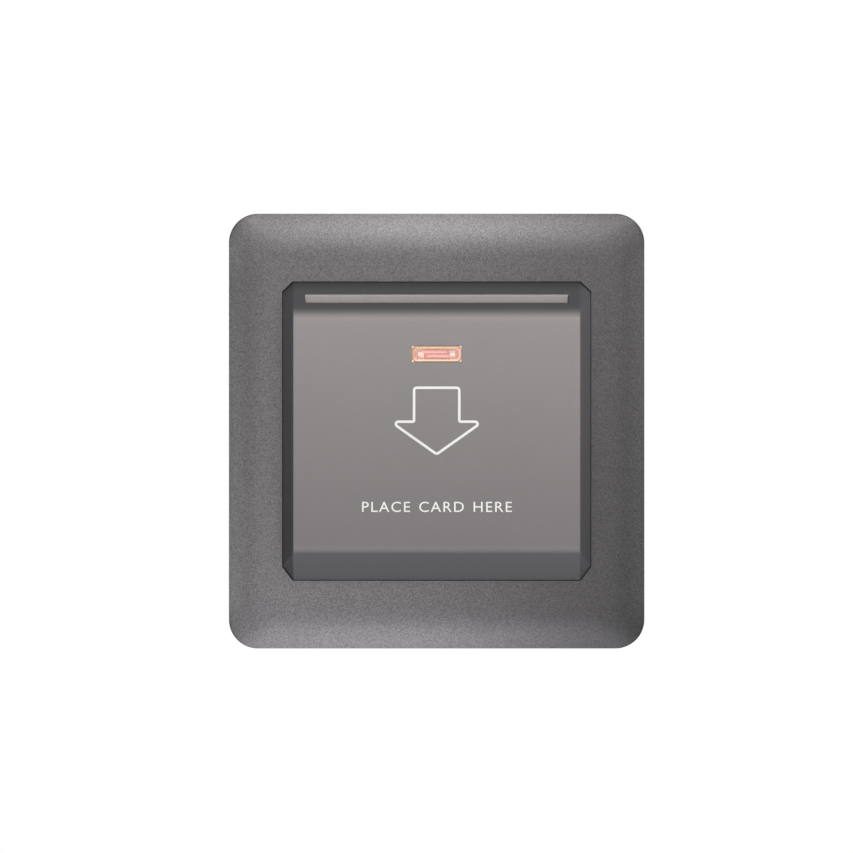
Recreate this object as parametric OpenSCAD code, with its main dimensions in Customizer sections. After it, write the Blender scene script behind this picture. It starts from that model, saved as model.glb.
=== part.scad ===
// Card-operated wall switch: a frame plate, a raised card pocket, and the lever and switch behind it.
// X runs to the right, Y into the wall and Z up. The plane y = 0 is the face of the wall, and the
// origin is midway between the two wall-box screws.

/* [Frame plate] */
// Width of the frame plate
plate_w = 86; // [84:1:96]
// Height of the frame plate
plate_h = 90; // [86:1:100]
// Height of the plate's face above the wall
plate_t = 9; // [8.5:0.5:12]
// Height of the plate's straight outer edge above the wall
edge_t = 7.4; // [5.6:0.2:8]
// Width of the curved band along the plate's outer edge
pillow_w = 9; // [6:0.5:10]
// Corner radius of the plate's outline
plate_corner_r = 6; // [4:0.5:9]
// Wall thickness of the plate's shell
plate_wall = 2.2; // [1.8:0.1:2.6]

/* [Card pocket] */
// Width of the card
card_w = 54; // [52:0.5:55]
// Side clearance of the card in its channel
card_slack = 0.2; // [0.2:0.05:0.5]
// Depth of the card channel, front to back
channel_t = 2; // [1.6:0.1:2.2]
// Depth of the slot's mouth, front to back
slot_t = 2.4; // [2.2:0.1:2.8]
// Distance from the plate's face to the back of the slot
slot_standoff = 3.8; // [3.4:0.1:4]
// Height of the pocket where it meets the plate
block_h = 61.6; // [60:0.2:66]
// Rise of the pocket's face above the plate
block_rise = 10; // [9.8:0.1:11]
// Height taken by the sloping top of the pocket
top_run = 6; // [5:0.5:7]
// Height taken by the sloping foot of the pocket
bottom_run = 6; // [4.6:0.2:7]
// Width taken by each sloping side of the pocket
side_run = 2.2; // [1.6:0.1:3]
// Radius of the edge between the pocket's top and its face
top_edge_r = 3; // [2.4:0.1:4]
// Radius of the edge between the pocket's foot and its face
bottom_edge_r = 2.4; // [2.3:0.1:3]
// How far the pocket's face bulges
crown_sag = 0.8; // [0.4:0.1:1]
// Wall thickness of the pocket cover
cover_wall = 2; // [1.8:0.1:2.2]
// Width of the brim that the plate traps
brim_w = 1.8; // [1.4:0.1:2]
// Thickness of the brim
brim_t = 1.5; // [1:0.1:2]

/* [Indicator] */
// Width of the indicator lens
lens_w = 9.9; // [9:0.1:12]
// Height of the indicator lens
lens_h = 3; // [2.9:0.1:4]
// Height of the lens above the plate's centre
lens_z = 15.9; // [14:0.1:17]
// Radius of the lamp's glass tube
lamp_r = 1.1; // [0.9:0.05:1.15]

/* [Card guide and lever] */
// Thickness of the card guide
guide_t = 2; // [1.6:0.1:2.2]
// Thickness of the rails beside the card
rail_t = 1; // [0.8:0.1:1.4]
// Height of the lever's pivot above the plate's centre
pivot_z = 5; // [4:0.5:6]
// Drop from the pivot to the lever's nose
nose_drop = 16; // [15:0.5:17]
// Drop from the pivot to the lever's finger
finger_drop = 8; // [7:0.25:8.5]
// Width of the card lever
lever_w = 8; // [6:0.5:8.5]
// Radius of the lever's pin
pin_r = 1; // [0.8:0.1:1.2]

/* [Mounting yoke] */
// Distance between the wall-box screws
fixing_pitch = 60.3; // [60:0.1:61]
// Radius of the slots for the wall-box screws
fixing_r = 2.1; // [1.9:0.05:2.3]
// End-to-end length of the slots for the wall-box screws
fixing_len = 7; // [5:0.5:7.5]
// Thickness of the yoke
yoke_t = 1.2; // [1:0.1:1.5]

/* [Switch] */
// Length of the switch case
case_l = 27.8; // [27:0.2:29]
// Thickness of the switch case
case_w = 10.3; // [10:0.1:10.8]
// Depth of the switch case
case_d = 15.9; // [15.6:0.1:16.5]
// Distance from the blade's knuckle to the plunger
blade_arm = 6; // [5.8:0.1:6.4]
// Distance from the blade's knuckle to its contact
contact_arm = 17; // [16.5:0.1:17.4]

/* [Rear housing] */
// Width of the rear housing
housing_w = 48; // [47:0.5:50]
// Wall thickness of the rear housing
housing_wall = 2; // [1.6:0.1:2.4]
// Depth of the terminal block behind the wall
block_d = 24; // [23.8:0.2:27]
// Distance between the terminals
terminal_pitch = 12; // [11.5:0.1:12.4]
// Radius of the wire bore in each terminal
wire_r = 2.1; // [1.8:0.05:2.2]

/* [Hidden] */
$fn = 48;
eps = 0.01;
// Clearances: between parts that drop together, and between parts that fit snugly
fit_gap = 0.35;
snug = 0.15;
touch = 0.05;

// Depth of each layer, from the wall out to the pocket's face
yoke_front = -yoke_t;
face_y = -plate_t;
front_y = face_y - block_rise;
slot_back = face_y - slot_standoff;
card_step = 0.1;
guide_front = slot_back + card_step;
guide_back = guide_front + guide_t;
channel_front = guide_front - channel_t;

// Steps across the plate's curved band
pillow_steps = 8;

// Outline of the pocket where it meets the plate
channel_hw = card_w / 2 + card_slack;
guide_hw = channel_hw + rail_t;
rail_front = channel_front + card_step;
side_slope = side_run / block_rise;
wall_across = cover_wall * sqrt(1 + side_slope * side_slope);
block_hw = guide_hw + fit_gap + wall_across + side_slope * (face_y - rail_front);
block_hh = block_h / 2;
corner_top = 2.1;
corner_bottom = 2.9;

// The pocket's face, between its sloping top and foot
face_hw = block_hw - side_run;
face_top = block_hh - top_run;
face_bottom = bottom_run - block_hh;
face_mid = (face_top + face_bottom) / 2;
face_half = (face_top - face_bottom) / 2;
crown_steps = 12;

// The guide's reach up and down inside the sloping walls
wall_up = 1.25 * cover_wall + fit_gap;
guide_top = block_hh - top_run * (face_y - guide_front) / block_rise - wall_up;
guide_bottom = -block_hh + bottom_run * (face_y - guide_front) / block_rise + wall_up;
ledge_bottom = -block_hh + bottom_run * (face_y - channel_front) / block_rise + wall_up;
ledge_t = 1.5;
card_stop = ledge_bottom + ledge_t;
rib_pitch = 12;
ear_near = 7;
ear_far = 20;

// Notches that let a screwdriver and a screw head reach the wall-box screws
screw_head_r = 4.6;
screw_head_h = 3.8;

// Lamp and lens
lead_r = 0.45;
lead_x = 7.5;
lens_y = crown_y(lens_z);
lens_proud = 0.25;
lens_skin = 0.8;
lens_lip = 0.7;
lens_lip_t = 0.7;
lens_corner = 0.5;
lamp_y = lens_y + cover_wall + lead_r + 0.08;
lamp_glass_t = 0.3;
lamp_half = 2.7;
cap_l = 1.2;
pigtail_end = 6.2;
pigtail_r = 0.3;
holder_hw = 8.6;
holder_hh = 3.5;
holder_front = crown_y(lens_z + holder_hh) + cover_wall + touch;
holder_back = channel_front - 0.25;

// Lever: swing that carries the nose from across the channel to just behind it
pivot_stand = 4.5;
pivot_y = guide_back + pivot_stand;
hub_r = 2.5;
bore_gap = 0.06;
nose_over = 0.3;
nose_tip_r = 0.8;
nose_reach = pivot_y - channel_front + nose_over;
nose_target = guide_front + card_step - pivot_y;
nose_radius = norm([nose_reach, nose_drop]);
lever_swing = asin(nose_target / nose_radius) + atan2(nose_reach, nose_drop);
lug_t = 2;
spring_room = 4.2;
spring_wire = 0.25;
spring_coil_r = 1.9;
spring_turns = 3.125;
spring_hook_l = 3.4;
spring_hook_y = 1;
spring_hook_drop = 4.3;
spring_leg_rise = 7.6;
spring_leg_y = spring_wire + snug - pivot_stand;
lug_reach = 2.6;
pin_over = 0.4;
pin_x0 = -lever_w / 2 - fit_gap - lug_t - pin_over;
pin_x1 = lever_w / 2 + fit_gap + spring_room + lug_t + pin_over;

// Switch: the plunger follows the lever's finger, and the blade follows the plunger
case_front = 0.3;
case_back = case_front + case_d;
plunger_z = pivot_z - finger_drop;
plunger_rise = 1.6;
plunger_top = case_front - plunger_rise;
finger_reach = plunger_top - fit_gap + 0.05 - pivot_y;
plunger_travel = finger_drop * sin(lever_swing) - finger_reach * (1 - cos(lever_swing));
plunger_r = 1.6;
plunger_neck_r = 1.2;
case_wall = 1.5;
case_front_wall = 2;
lid_t = 1.5;
knuckle_x = -blade_arm;
knuckle_r = 0.7;
case_x0 = knuckle_x - 3.5;
case_x1 = case_x0 + case_l;
case_z0 = plunger_z - case_w / 2;
case_z1 = plunger_z + case_w / 2;
blade_t = 0.5;
blade_y = 8;
blade_w = 5;
blade_end = 2.2;
blade_swing = atan(plunger_travel / blade_arm);
contact_x = knuckle_x + contact_arm;
contact_r = 1.8;
contact_t = 1;
contact_dome = 0.5;
contact_gap = 0.15;
fixed_contact_t = 0.8;
blade_contact_y = blade_t / 2 + contact_t;
fixed_contact_y = blade_y + contact_arm * sin(blade_swing) + blade_contact_y * cos(blade_swing) + contact_gap;
strip_t = 0.8;
strip_y = fixed_contact_y + fixed_contact_t;
strip_back = strip_y + strip_t;
strip_top = case_z1 - lid_t - 0.5;
coil_x = 3;
coil_r = 1.4;
coil_wire = 0.2;
coil_turns = 4.5;

// Rear housing: the switch chamber above, the terminal block below
housing_hw = housing_w / 2;
housing_top = 12;
housing_bottom = -28;
chamber_back = case_back;
chamber_d = chamber_back + housing_wall + 0.3;
chamber_bottom = -15.5;
bay_top = chamber_bottom - housing_wall;
boss_x = 20;
boss_top = 8;
boss_bottom = -23.5;
boss_r = 3.2;
boss_points = [for (x = [-boss_x, boss_x], z = [boss_bottom, boss_top]) [x, z]];
screw_r = 1.45;
screw_hole_r = 1.6;
screw_head = 2.8;
screw_head_t = 2;
screw_seat = chamber_d - screw_head_t - 0.2;
screw_tip = guide_back + 1.2;

// Terminals
terminal_xs = [-terminal_pitch, 0, terminal_pitch];
pillar_w = 7;
clamp_head_r = 2.7;
clamp_head_t = 1.9;
clamp_gap = 0.2;
clamp_sink = 0.84;
pillar_d = block_d - clamp_sink - clamp_head_t - clamp_gap - strip_back;
pillar_top = bay_top - 0.1;
pillar_bottom = housing_bottom + 1.2;
bay_hw = pillar_w / 2 + snug;
bay_front = strip_y;
wire_wall = 0.34 * (pillar_d - 2 * wire_r);
wire_y = strip_back + wire_r + wire_wall;
clamp_r = 1.75;
clamp_z = (pillar_top + pillar_bottom) / 2;
tail_hw = 2.5;
tail_bottom = pillar_bottom + 0.3;
shield_t = 1.6;
shield_hw = terminal_pitch + pillar_w / 2 + 1.8;
lower_floor = bay_front - housing_wall;

// Yoke
yoke_side_gap = 4.5;
yoke_end_gap = 5;
yoke_w = plate_w - 2 * yoke_side_gap;
yoke_h = plate_h - 2 * yoke_end_gap;
yoke_corner_r = 4;
yoke_lip = 2;
window_hw = 9;
window_top = 6.5;
window_bottom = -20;
hook_x = block_hw + brim_w + 1.7;
hook_z = 22;
hook_w = 6;
hook_t = 1.5;
hook_barb = 0.8;
collar_t = brim_w - snug;

// Leads: thin insulated wire from the lamp to the terminals, at places chosen by hand
supply_route = [
    [6.25, -16.15, 15.9], [6.9, -16.15, 15.9], [7.4, -16.1, 15.1], [7.5, -16, 14], [7.5, -16, 11],
    [7.5, -16, 4], [7.5, -16, -4], [7.5, -16, -12], [7.5, -15.9, -18], [7.5, -15.7, -21],
    [7.5, -15.5, -23.2], [7.5, -14.6, -24.05], [7.5, -13.2, -24.8], [7.5, -11.2, -25.2],
    [7.5, -9.4, -24.4], [7.5, -7, -22], [7.5, -4, -18.8], [7.5, -0.6, -17], [7.5, 2.4, -17.2],
    [7.2, 4.2, -18.4], [6.4, 5, -19.6], [5.4, 5, -20], [4.5, 5, -20]
];
neutral_route = [
    [-6.25, -16.15, 15.9], [-6.9, -16.15, 15.9], [-7.4, -16.1, 15.1], [-7.5, -16, 14], [-7.5, -16, 11],
    [-7.5, -16, 4], [-7.5, -16, -4], [-7.5, -16, -12], [-7.5, -15.9, -18], [-7.5, -15.7, -21],
    [-7.5, -15.5, -23.2], [-7.5, -14.6, -24.05], [-7.5, -13.2, -24.8], [-7.5, -11.2, -25.2],
    [-7.5, -9.4, -24.4], [-7.5, -7, -22], [-7.5, -4, -18.8], [-7.4, -0.6, -16.2], [-6.6, 3, -14.6],
    [-4.6, 6.5, -13], [-2, 9.4, -12], [-0.4, 11.2, -11.7], [0, 12.3, -11.6], [0, 13.2, -11.6]
];
tail_route = [
    [-4.5, 5, -20], [-5.4, 5, -20], [-6.6, 5.4, -19.4], [-7.4, 6.6, -17.8], [-7.6, 8.2, -15.8],
    [-7, 9.8, -13.8], [-6.3, 11.2, -12.8], [-6, 12.3, -12.6], [-6, 13.2, -12.6]
];
lead_sides = 8;
resistor_y = 5;
resistor_z = -20;
resistor_r = 1.2;
resistor_half = 3.2;
resistor_pin = 4.4;

// The pocket's face bulges towards the room, most at mid height
function crown_y(z) = front_y + crown_sag * pow((z - face_mid) / face_half, 2);

// How far the bulging face leans back at a height
function crown_tilt(z) = atan(2 * crown_sag * (z - face_mid) / (face_half * face_half));

// Where a rounded edge of radius r ends on the face, below a slope that takes run of the height
function edge_inset(r, run) = r * tan(atan(block_rise / run) / 2);

// Outline of the pocket's base, grown all round, with its cut corners
function block_outline(grow) =
    let (w = block_hw + grow, h = block_hh + grow, c = side_run)
    [
        [w - c, h], [w, h - corner_top], [w, corner_bottom - h], [w - c, -h],
        [c - w, -h], [-w, corner_bottom - h], [-w, h - corner_top], [c - w, h]
    ];

// Outline of the lens, drawn in all round, with its cut corners
function lens_outline(inset) =
    let (w = lens_w / 2 - inset, h = lens_h / 2 - inset, c = lens_corner, z = lens_z)
    [
        [w - c, z + h], [w, z + h - c], [w, z - h + c], [w - c, z - h],
        [c - w, z - h], [-w, z - h + c], [-w, z + h - c], [c - w, z + h]
    ];

// Outline of the card guide, with its corners cut like the pocket's
function guide_outline() =
    let (w = guide_hw, c = side_run, top = guide_top, bottom = guide_bottom)
    [
        [w - c, top], [w, top - corner_top], [w, bottom + corner_bottom], [w - c, bottom],
        [c - w, bottom], [-w, bottom + corner_bottom], [-w, top - corner_top], [c - w, top]
    ];

function unit(v) = v / norm(v);

function tangents(p) =
    [for (i = [0:len(p) - 1]) unit(p[min(i + 1, len(p) - 1)] - p[max(i - 1, 0)])];

// One direction across the path for each of its points, carried along without twist
function across(t, n, i = 0) =
    i == len(t) ? [] : let (m = unit(n - t[i] * (n * t[i]))) concat([m], across(t, m, i + 1));

// A 2D shape in X and Z, as a slab from y0 to y1
module slab(y0, y1) {
    translate([0, y1, 0]) rotate([90, 0, 0]) linear_extrude(y1 - y0) children();
}

// A 2D shape in Y and Z, as a bar from x0 to x1
module bar(x0, x1) {
    translate([x0, 0, 0]) rotate([90, 0, 90]) linear_extrude(x1 - x0) children();
}

// A box between two corners
module block(a, b) {
    translate(a) cube(b - a);
}

// Round rods along Y and along X
module rod_y(x, z, y0, y1, r) {
    translate([x, y1, z]) rotate([90, 0, 0]) cylinder(h = y1 - y0, r = r);
}

module rod_x(y, z, x0, x1, r) {
    translate([x0, y, z]) rotate([0, 90, 0]) cylinder(h = x1 - x0, r = r);
}

module round_rect(w, h, r) {
    square([w - 2 * r, h], center = true);
    square([w, h - 2 * r], center = true);
    for (x = [r - w / 2, w / 2 - r], z = [r - h / 2, h / 2 - r]) translate([x, z]) circle(r);
}

// A tube of radius r swept along the points p; start is any direction across its first stretch
module tube(p, r, sides, start) {
    t = tangents(p);
    n = across(t, start);
    s = sides;
    last = (len(p) - 1) * s;
    points = [
        for (i = [0:len(p) - 1], k = [0:s - 1])
            p[i] + r * (cos(360 * k / s) * n[i] + sin(360 * k / s) * cross(t[i], n[i]))
    ];
    walls = [
        for (i = [0:len(p) - 2], k = [0:s - 1])
            let (a = i * s + k, b = i * s + (k + 1) % s)
            each [[a, a + s, b + s], [a, b + s, b]]
    ];
    ends = [for (k = [1:s - 2]) each [[0, k, k + 1], [last, last + k + 1, last + k]]];
    polyhedron(points, concat(walls, ends));
}

// Frame plate: a thin pillowed shell that snaps over the yoke
module pillow(inset, back) {
    w = plate_w - 2 * inset;
    h = plate_h - 2 * inset;
    r = plate_corner_r - inset;
    rise = plate_t - edge_t;
    hull() {
        slab(inset - edge_t, back) round_rect(w, h, r, $fn = 32);
        for (k = [1:pillow_steps]) {
            s = k / pillow_steps;
            in = pillow_w * s;
            y = edge_t - inset + rise * s * (2 - s);
            slab(-y, -y + eps)
                round_rect(w - 2 * in, h - 2 * in, max(r - in / 3, 0.6), $fn = 32);
        }
    }
}

module plate_shell() {
    difference() {
        pillow(0, 0);
        pillow(plate_wall, 1);
    }
}

module plate_hook() {
    hook_front = face_y + plate_wall / 2;
    block([hook_x, hook_front, -hook_w / 2], [hook_x + hook_t, 1.8, hook_w / 2]);
    bar_profile = [[touch, 0], [touch, hook_barb], [0.7, hook_barb], [1.8, 0]];
    translate([hook_x, 0, -hook_w / 2]) linear_extrude(hook_w)
        polygon([for (p = bar_profile) [-p[1], p[0]]]);
}

module screw_notches() {
    for (s = [-1, 1])
        translate([s * fixing_pitch / 2, 0, 0])
            block(
                [-screw_head_r, yoke_front - screw_head_h, -screw_head_r],
                [screw_head_r, eps, screw_head_r]
            );
}

module bezel_frame() {
    color("dimgray") {
        difference() {
            union() {
                plate_shell();
                slab(face_y + plate_wall / 2, yoke_front - brim_t - touch)
                    polygon(block_outline(snug + collar_t));
            }
            slab(face_y - 1, eps) polygon(block_outline(snug));
            screw_notches();
        }
        for (s = [0, 1], z = [-hook_z, hook_z])
            mirror([s, 0, 0]) translate([0, 0, z]) plate_hook();
    }
}

// Pocket cover: a raised, slightly bulging face with sloping walls, a card slot and a lens window.
// The form runs back to the depth given, as a straight skirt behind the plate's face.
module pocket_form(inset, back) {
    top_in = edge_inset(top_edge_r, top_run);
    bottom_in = edge_inset(bottom_edge_r, bottom_run);
    z0 = face_bottom + bottom_in;
    z1 = face_top - top_in;
    hw = face_hw - inset * (1 - side_slope);
    hull() {
        slab(face_y, back) polygon(block_outline(-inset));
        for (e = [[z0, bottom_edge_r], [z1, top_edge_r]])
            rod_x(
                crown_y(e[0]) + e[1] * cos(crown_tilt(e[0])), e[0] - e[1] * sin(crown_tilt(e[0])),
                -hw, hw, e[1] - inset, $fn = 48
            );
        bar(-hw, hw)
            polygon(concat(
                [for (i = [0:crown_steps]) let (z = z0 + (z1 - z0) * i / crown_steps)
                    [crown_y(z) + inset, z]],
                [[face_y, z1], [face_y, z0]]
            ));
    }
}

module cover_shell() {
    difference() {
        union() {
            pocket_form(0, yoke_front - brim_t / 2);
            slab(yoke_front - brim_t, yoke_front) polygon(block_outline(brim_w));
        }
        pocket_form(cover_wall, 1);
    }
}

module guide_rib() {
    rib_top = face_top - 3;
    rib_bottom = card_stop + 1;
    rib_t = 1.2;
    bar(-rib_t / 2, rib_t / 2)
        polygon([
            [front_y + cover_wall / 2, rib_bottom], [channel_front, rib_bottom],
            [channel_front, rib_top - 3], [front_y + crown_sag + cover_wall / 2, rib_top]
        ]);
}

module lens_window() {
    block(
        [-lens_w / 2 - snug, front_y - 1, lens_z - lens_h / 2 - snug],
        [lens_w / 2 + snug, front_y + block_rise / 2, lens_z + lens_h / 2 + snug]
    );
    lip_y = lens_y + cover_wall - lens_lip_t - snug;
    block(
        [-lens_w / 2 - lens_lip - snug, lip_y, lens_z - lens_h / 2 - snug],
        [lens_w / 2 + lens_lip + snug, front_y + block_rise / 2, lens_z + lens_h / 2 + snug]
    );
}

module card_slot() {
    block([-channel_hw, slot_back - slot_t, 0], [channel_hw, slot_back, block_hh + 1]);
}

module pocket_cover() {
    color("gray") {
        difference() {
            cover_shell();
            card_slot();
            lens_window();
            screw_notches();
        }
        for (k = [-2, -1, 1, 2]) translate([k * rib_pitch, 0, 0]) guide_rib();
    }
}

// Indicator: a hollow lens in the cover, and a neon lamp lying in a holder behind it
module indicator_lens() {
    front = lens_y - lens_proud;
    back = lens_y + cover_wall - snug;
    bevel = 0.35;
    color("lightsalmon") difference() {
        union() {
            hull() {
                slab(front, front + bevel) polygon(lens_outline(bevel));
                slab(front + bevel, back) polygon(lens_outline(0));
            }
            block(
                [-lens_w / 2 - lens_lip, back - lens_lip_t, lens_z - lens_h / 2],
                [lens_w / 2 + lens_lip, back, lens_z + lens_h / 2]
            );
        }
        block(
            [-lens_w / 2 + 0.5, front + lens_skin, lens_z - lamp_r - snug],
            [lens_w / 2 - 0.5, back + 1, lens_z + lamp_r + snug]
        );
    }
}

module lamp_holder() {
    color("whitesmoke") difference() {
        slab(holder_front, holder_back)
            translate([0, lens_z]) round_rect(2 * holder_hw, 2 * holder_hh, 1);
        block(
            [-lamp_half - cap_l - snug, holder_front - 1, lens_z - lamp_r - snug],
            [lamp_half + cap_l + snug, holder_back + 1, lens_z + lamp_r + snug]
        );
        rod_x(lamp_y, lens_z, -holder_hw + 0.8, holder_hw - 0.8, lead_r + snug);
        for (s = [-1, 1])
            block(
                [s * lead_x - 1.1, holder_front - 1, lens_z - holder_hh - 1],
                [s * lead_x + 1.1, lamp_y + 1, lens_z + 1]
            );
    }
}

module lamp_tube() {
    color("mistyrose") difference() {
        rod_x(lamp_y, lens_z, -lamp_half, lamp_half, lamp_r);
        rod_x(lamp_y, lens_z, -lamp_half - 1, lamp_half + 1, lamp_r - lamp_glass_t);
    }
}

module lamp_caps() {
    color("gainsboro") for (s = [0, 1]) mirror([s, 0, 0]) {
        rod_x(lamp_y, lens_z, lamp_half, lamp_half + cap_l, lamp_r);
        rod_x(lamp_y, lens_z, lamp_half + cap_l - eps, pigtail_end, pigtail_r);
    }
}

module lamp_electrodes() {
    color("tomato") for (s = [0, 1]) mirror([s, 0, 0])
        rod_x(lamp_y, lens_z + (0.5 - s) * 0.8, -lamp_half, lamp_half - 0.7, 0.2);
}

// Card guide: the back of the card channel, carrying the lever and the pillars of the housing screws
module guide_plate() {
    slab(guide_front, guide_back) polygon(guide_outline());
    for (s = [0, 1]) mirror([s, 0, 0])
        block(
            [channel_hw, rail_front, ledge_bottom + corner_bottom],
            [guide_hw, guide_front + eps, guide_top - corner_bottom]
        );
    block([-channel_hw, rail_front, ledge_bottom], [channel_hw, guide_front + eps, card_stop]);
    for (s = [0, 1], z = [[-ear_far, -ear_near], [ear_near, ear_far]]) mirror([s, 0, 0])
        block([guide_hw - 1.6, guide_back - eps, z[0]], [guide_hw, yoke_front, z[1]]);
    for (p = boss_points) rod_y(p[0], p[1], guide_back - eps, yoke_front, boss_r);
}

module pivot_lug(x) {
    bar(x, x + lug_t) {
        translate([pivot_y, pivot_z]) circle(lug_reach);
        polygon([
            [guide_back - eps, pivot_z - lug_reach - 1], [pivot_y, pivot_z - lug_reach],
            [pivot_y, pivot_z + lug_reach], [guide_back - eps, pivot_z + lug_reach + 1]
        ]);
    }
}

module card_guide() {
    nose_top = pivot_z - nose_drop + 6;
    nose_bottom = pivot_z - nose_drop - 3.2;
    color("darkslategray") difference() {
        union() {
            guide_plate();
            pivot_lug(-lever_w / 2 - fit_gap - lug_t);
            pivot_lug(lever_w / 2 + fit_gap + spring_room);
        }
        rod_x(pivot_y, pivot_z, pin_x0 - 1, pin_x1 + 1, pin_r + 0.02);
        block(
            [-lever_w / 2 - 0.6, guide_front - 1, nose_bottom],
            [lever_w / 2 + 0.6, guide_back + 0.5, nose_top]
        );
        for (s = [-1, 1]) {
            rod_y(s * fixing_pitch / 2, 0, rail_front - 1, yoke_front + 1, screw_head_r);
            block(
                [s * lead_x - 1.1, rail_front - 1, guide_bottom - 1],
                [s * lead_x + 1.1, guide_back + 1, card_stop - 0.3]
            );
        }
        for (p = boss_points) rod_y(p[0], p[1], screw_tip - 0.5, yoke_front + 1, screw_r + touch);
    }
}

// Card lever: its nose lies across the channel, and its finger reaches back to the switch's plunger
module lever_profile() {
    back = 0.4;
    front = -2.4;
    circle(hub_r);
    polygon([
        [back, 0], [front, 0], [front, -nose_drop - 2],
        [front + 0.8, -nose_drop - 2], [back, -nose_drop + 1.5]
    ]);
    tip = nose_tip_r - nose_reach;
    translate([tip, -nose_drop]) circle(nose_tip_r);
    polygon([
        [front + 1, -nose_drop + 6], [front, -nose_drop + 6], [tip - 0.4, -nose_drop + 0.5],
        [tip + 0.2, -nose_drop - 0.6], [front, -nose_drop - 2], [front + 0.5, -nose_drop - 2]
    ]);
    translate([finger_reach - 1, -finger_drop]) circle(1);
    polygon([
        [back - 1, -finger_drop - 2.6], [back, -finger_drop - 2.6], [finger_reach - 1, -finger_drop - 0.85],
        [finger_reach - 1, -finger_drop + 0.85], [back, -finger_drop + 2.6], [back - 1, -finger_drop + 2.6]
    ]);
}

module card_lever() {
    color("ivory") difference() {
        bar(-lever_w / 2, lever_w / 2) translate([pivot_y, pivot_z]) lever_profile();
        rod_x(pivot_y, pivot_z, -lever_w, lever_w, pin_r + bore_gap);
    }
}

module lever_pin() {
    color("silver") rod_x(pivot_y, pivot_z, pin_x0, pin_x1, pin_r);
}

// Torsion spring: one leg bears on the guide, the other hooks behind the lever's arm
module lever_spring() {
    x0 = lever_w / 2 + fit_gap + 0.4;
    pitch = (spring_room - 1) / spring_turns;
    steps = 16;
    r = spring_coil_r;
    hy = spring_hook_y;
    hz = -spring_hook_drop;
    hook = [
        [x0 - spring_hook_l, hy, hz], [x0 - 0.6 * spring_hook_l, hy, hz],
        [x0 - 0.26 * spring_hook_l, hy + 0.03 * r, 0.95 * hz],
        [x0 - 0.06 * spring_hook_l, 0.74 * r, 0.74 * hz], [x0, r, 0.35 * hz]
    ];
    coil = [
        for (i = [0:steps * spring_turns]) let (a = 360 * i / steps)
            [x0 + pitch * a / 360, r * cos(a), r * sin(a)]
    ];
    x1 = x0 + pitch * spring_turns + 0.3;
    ly = spring_leg_y;
    lz = spring_leg_rise;
    leg = [[x1 - 0.1, 0.1 * r, 0.34 * lz], [x1, 0.46 * ly, 0.66 * lz], [x1, ly, lz]];
    color("silver") translate([0, pivot_y, pivot_z])
        tube(concat(hook, coil, leg), spring_wire, 6, [0, 1, 0]);
}

// Mounting yoke: a steel plate with slots for the wall-box screws and catches for the plate's hooks
module mounting_yoke() {
    color("lightsteelblue") difference() {
        union() {
            slab(yoke_front, 0) round_rect(yoke_w, yoke_h, yoke_corner_r);
            for (s = [0, 1]) mirror([s, 0, 0])
                block(
                    [yoke_w / 2 - yoke_t, yoke_front - yoke_lip, -yoke_h / 2 + yoke_corner_r],
                    [yoke_w / 2, yoke_front + eps, yoke_h / 2 - yoke_corner_r]
                );
        }
        slab(yoke_front - 1, 1) {
            translate([-window_hw, window_bottom]) square([2 * window_hw, window_top - window_bottom]);
            for (s = [-1, 1]) translate([s * fixing_pitch / 2, 0]) {
                square([fixing_len - 2 * fixing_r, 2 * fixing_r], center = true);
                for (e = [-1, 1]) translate([e * (fixing_len / 2 - fixing_r), 0]) circle(fixing_r);
            }
            for (s = [0, 1], z = [-hook_z, hook_z]) mirror([s, 0])
                translate([hook_x - hook_barb - 0.3, z - hook_w / 2 - 0.3])
                    square([hook_t + hook_barb + 0.6, hook_w + 0.6]);
            for (p = boss_points) translate(p) circle(screw_hole_r);
        }
    }
}

// Rear housing: an open chamber for the switch, and bays for the terminals below it
module housing_outer() {
    corner = 3;
    mid = (housing_top + housing_bottom) / 2;
    slab(0, chamber_d)
        translate([0, mid]) round_rect(housing_w, housing_top - housing_bottom, corner);
    slab(chamber_d - eps, block_d)
        translate([0, (bay_top + housing_wall + housing_bottom) / 2])
            round_rect(housing_w, bay_top + housing_wall - housing_bottom, corner);
}

module switch_seat() {
    rib = 1.2;
    y0 = chamber_back - 5;
    g = snug;
    block([case_x0 - g - rib, y0, case_z0], [case_x0 - g, chamber_back + eps, case_z1 + g]);
    block([case_x1 + g, y0, case_z0], [case_x1 + g + rib, chamber_back + eps, case_z1 + g]);
    block([case_x0 - g - rib, y0, case_z1 + g], [case_x1 + g + rib, chamber_back + eps, case_z1 + g + rib]);
    block([-1.5, y0, case_z0 - g - rib], [6.5, chamber_back + eps, case_z0 - g]);
}

module housing_hollow() {
    hw = housing_hw - housing_wall;
    difference() {
        block([-hw, -1, chamber_bottom], [hw, chamber_back, housing_top - housing_wall]);
        for (x = [-boss_x, boss_x]) rod_y(x, boss_top, -2, chamber_back + 1, boss_r + 0.2);
        for (x = [-boss_x, boss_x])
            block([x - boss_r - 0.2, -2, boss_top], [x + boss_r + 0.2, chamber_back + 1, housing_top]);
        switch_seat();
    }
    lower_hw = boss_x - boss_r - 0.8;
    block([-lower_hw, -1, housing_bottom + housing_wall], [lower_hw, lower_floor, chamber_bottom + eps]);
}

module rear_housing() {
    color("#2b2b2d") difference() {
        housing_outer();
        housing_hollow();
        for (x = terminal_xs) {
            block([x - bay_hw, bay_front, housing_bottom - 1], [x + bay_hw, block_d + 1, bay_top]);
            block(
                [x - tail_hw - 0.1, bay_front - touch, bay_top - 1],
                [x + tail_hw + 0.1, strip_back + touch, chamber_bottom + 1]
            );
        }
        block(
            [-shield_hw, block_d - shield_t, housing_bottom - 1],
            [shield_hw, block_d + 1, bay_top + 0.6]
        );
        for (p = boss_points) {
            rod_y(p[0], p[1], -1, block_d, screw_hole_r);
            rod_y(p[0], p[1], screw_seat, block_d + 1, screw_head + 0.3);
        }
    }
}

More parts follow.
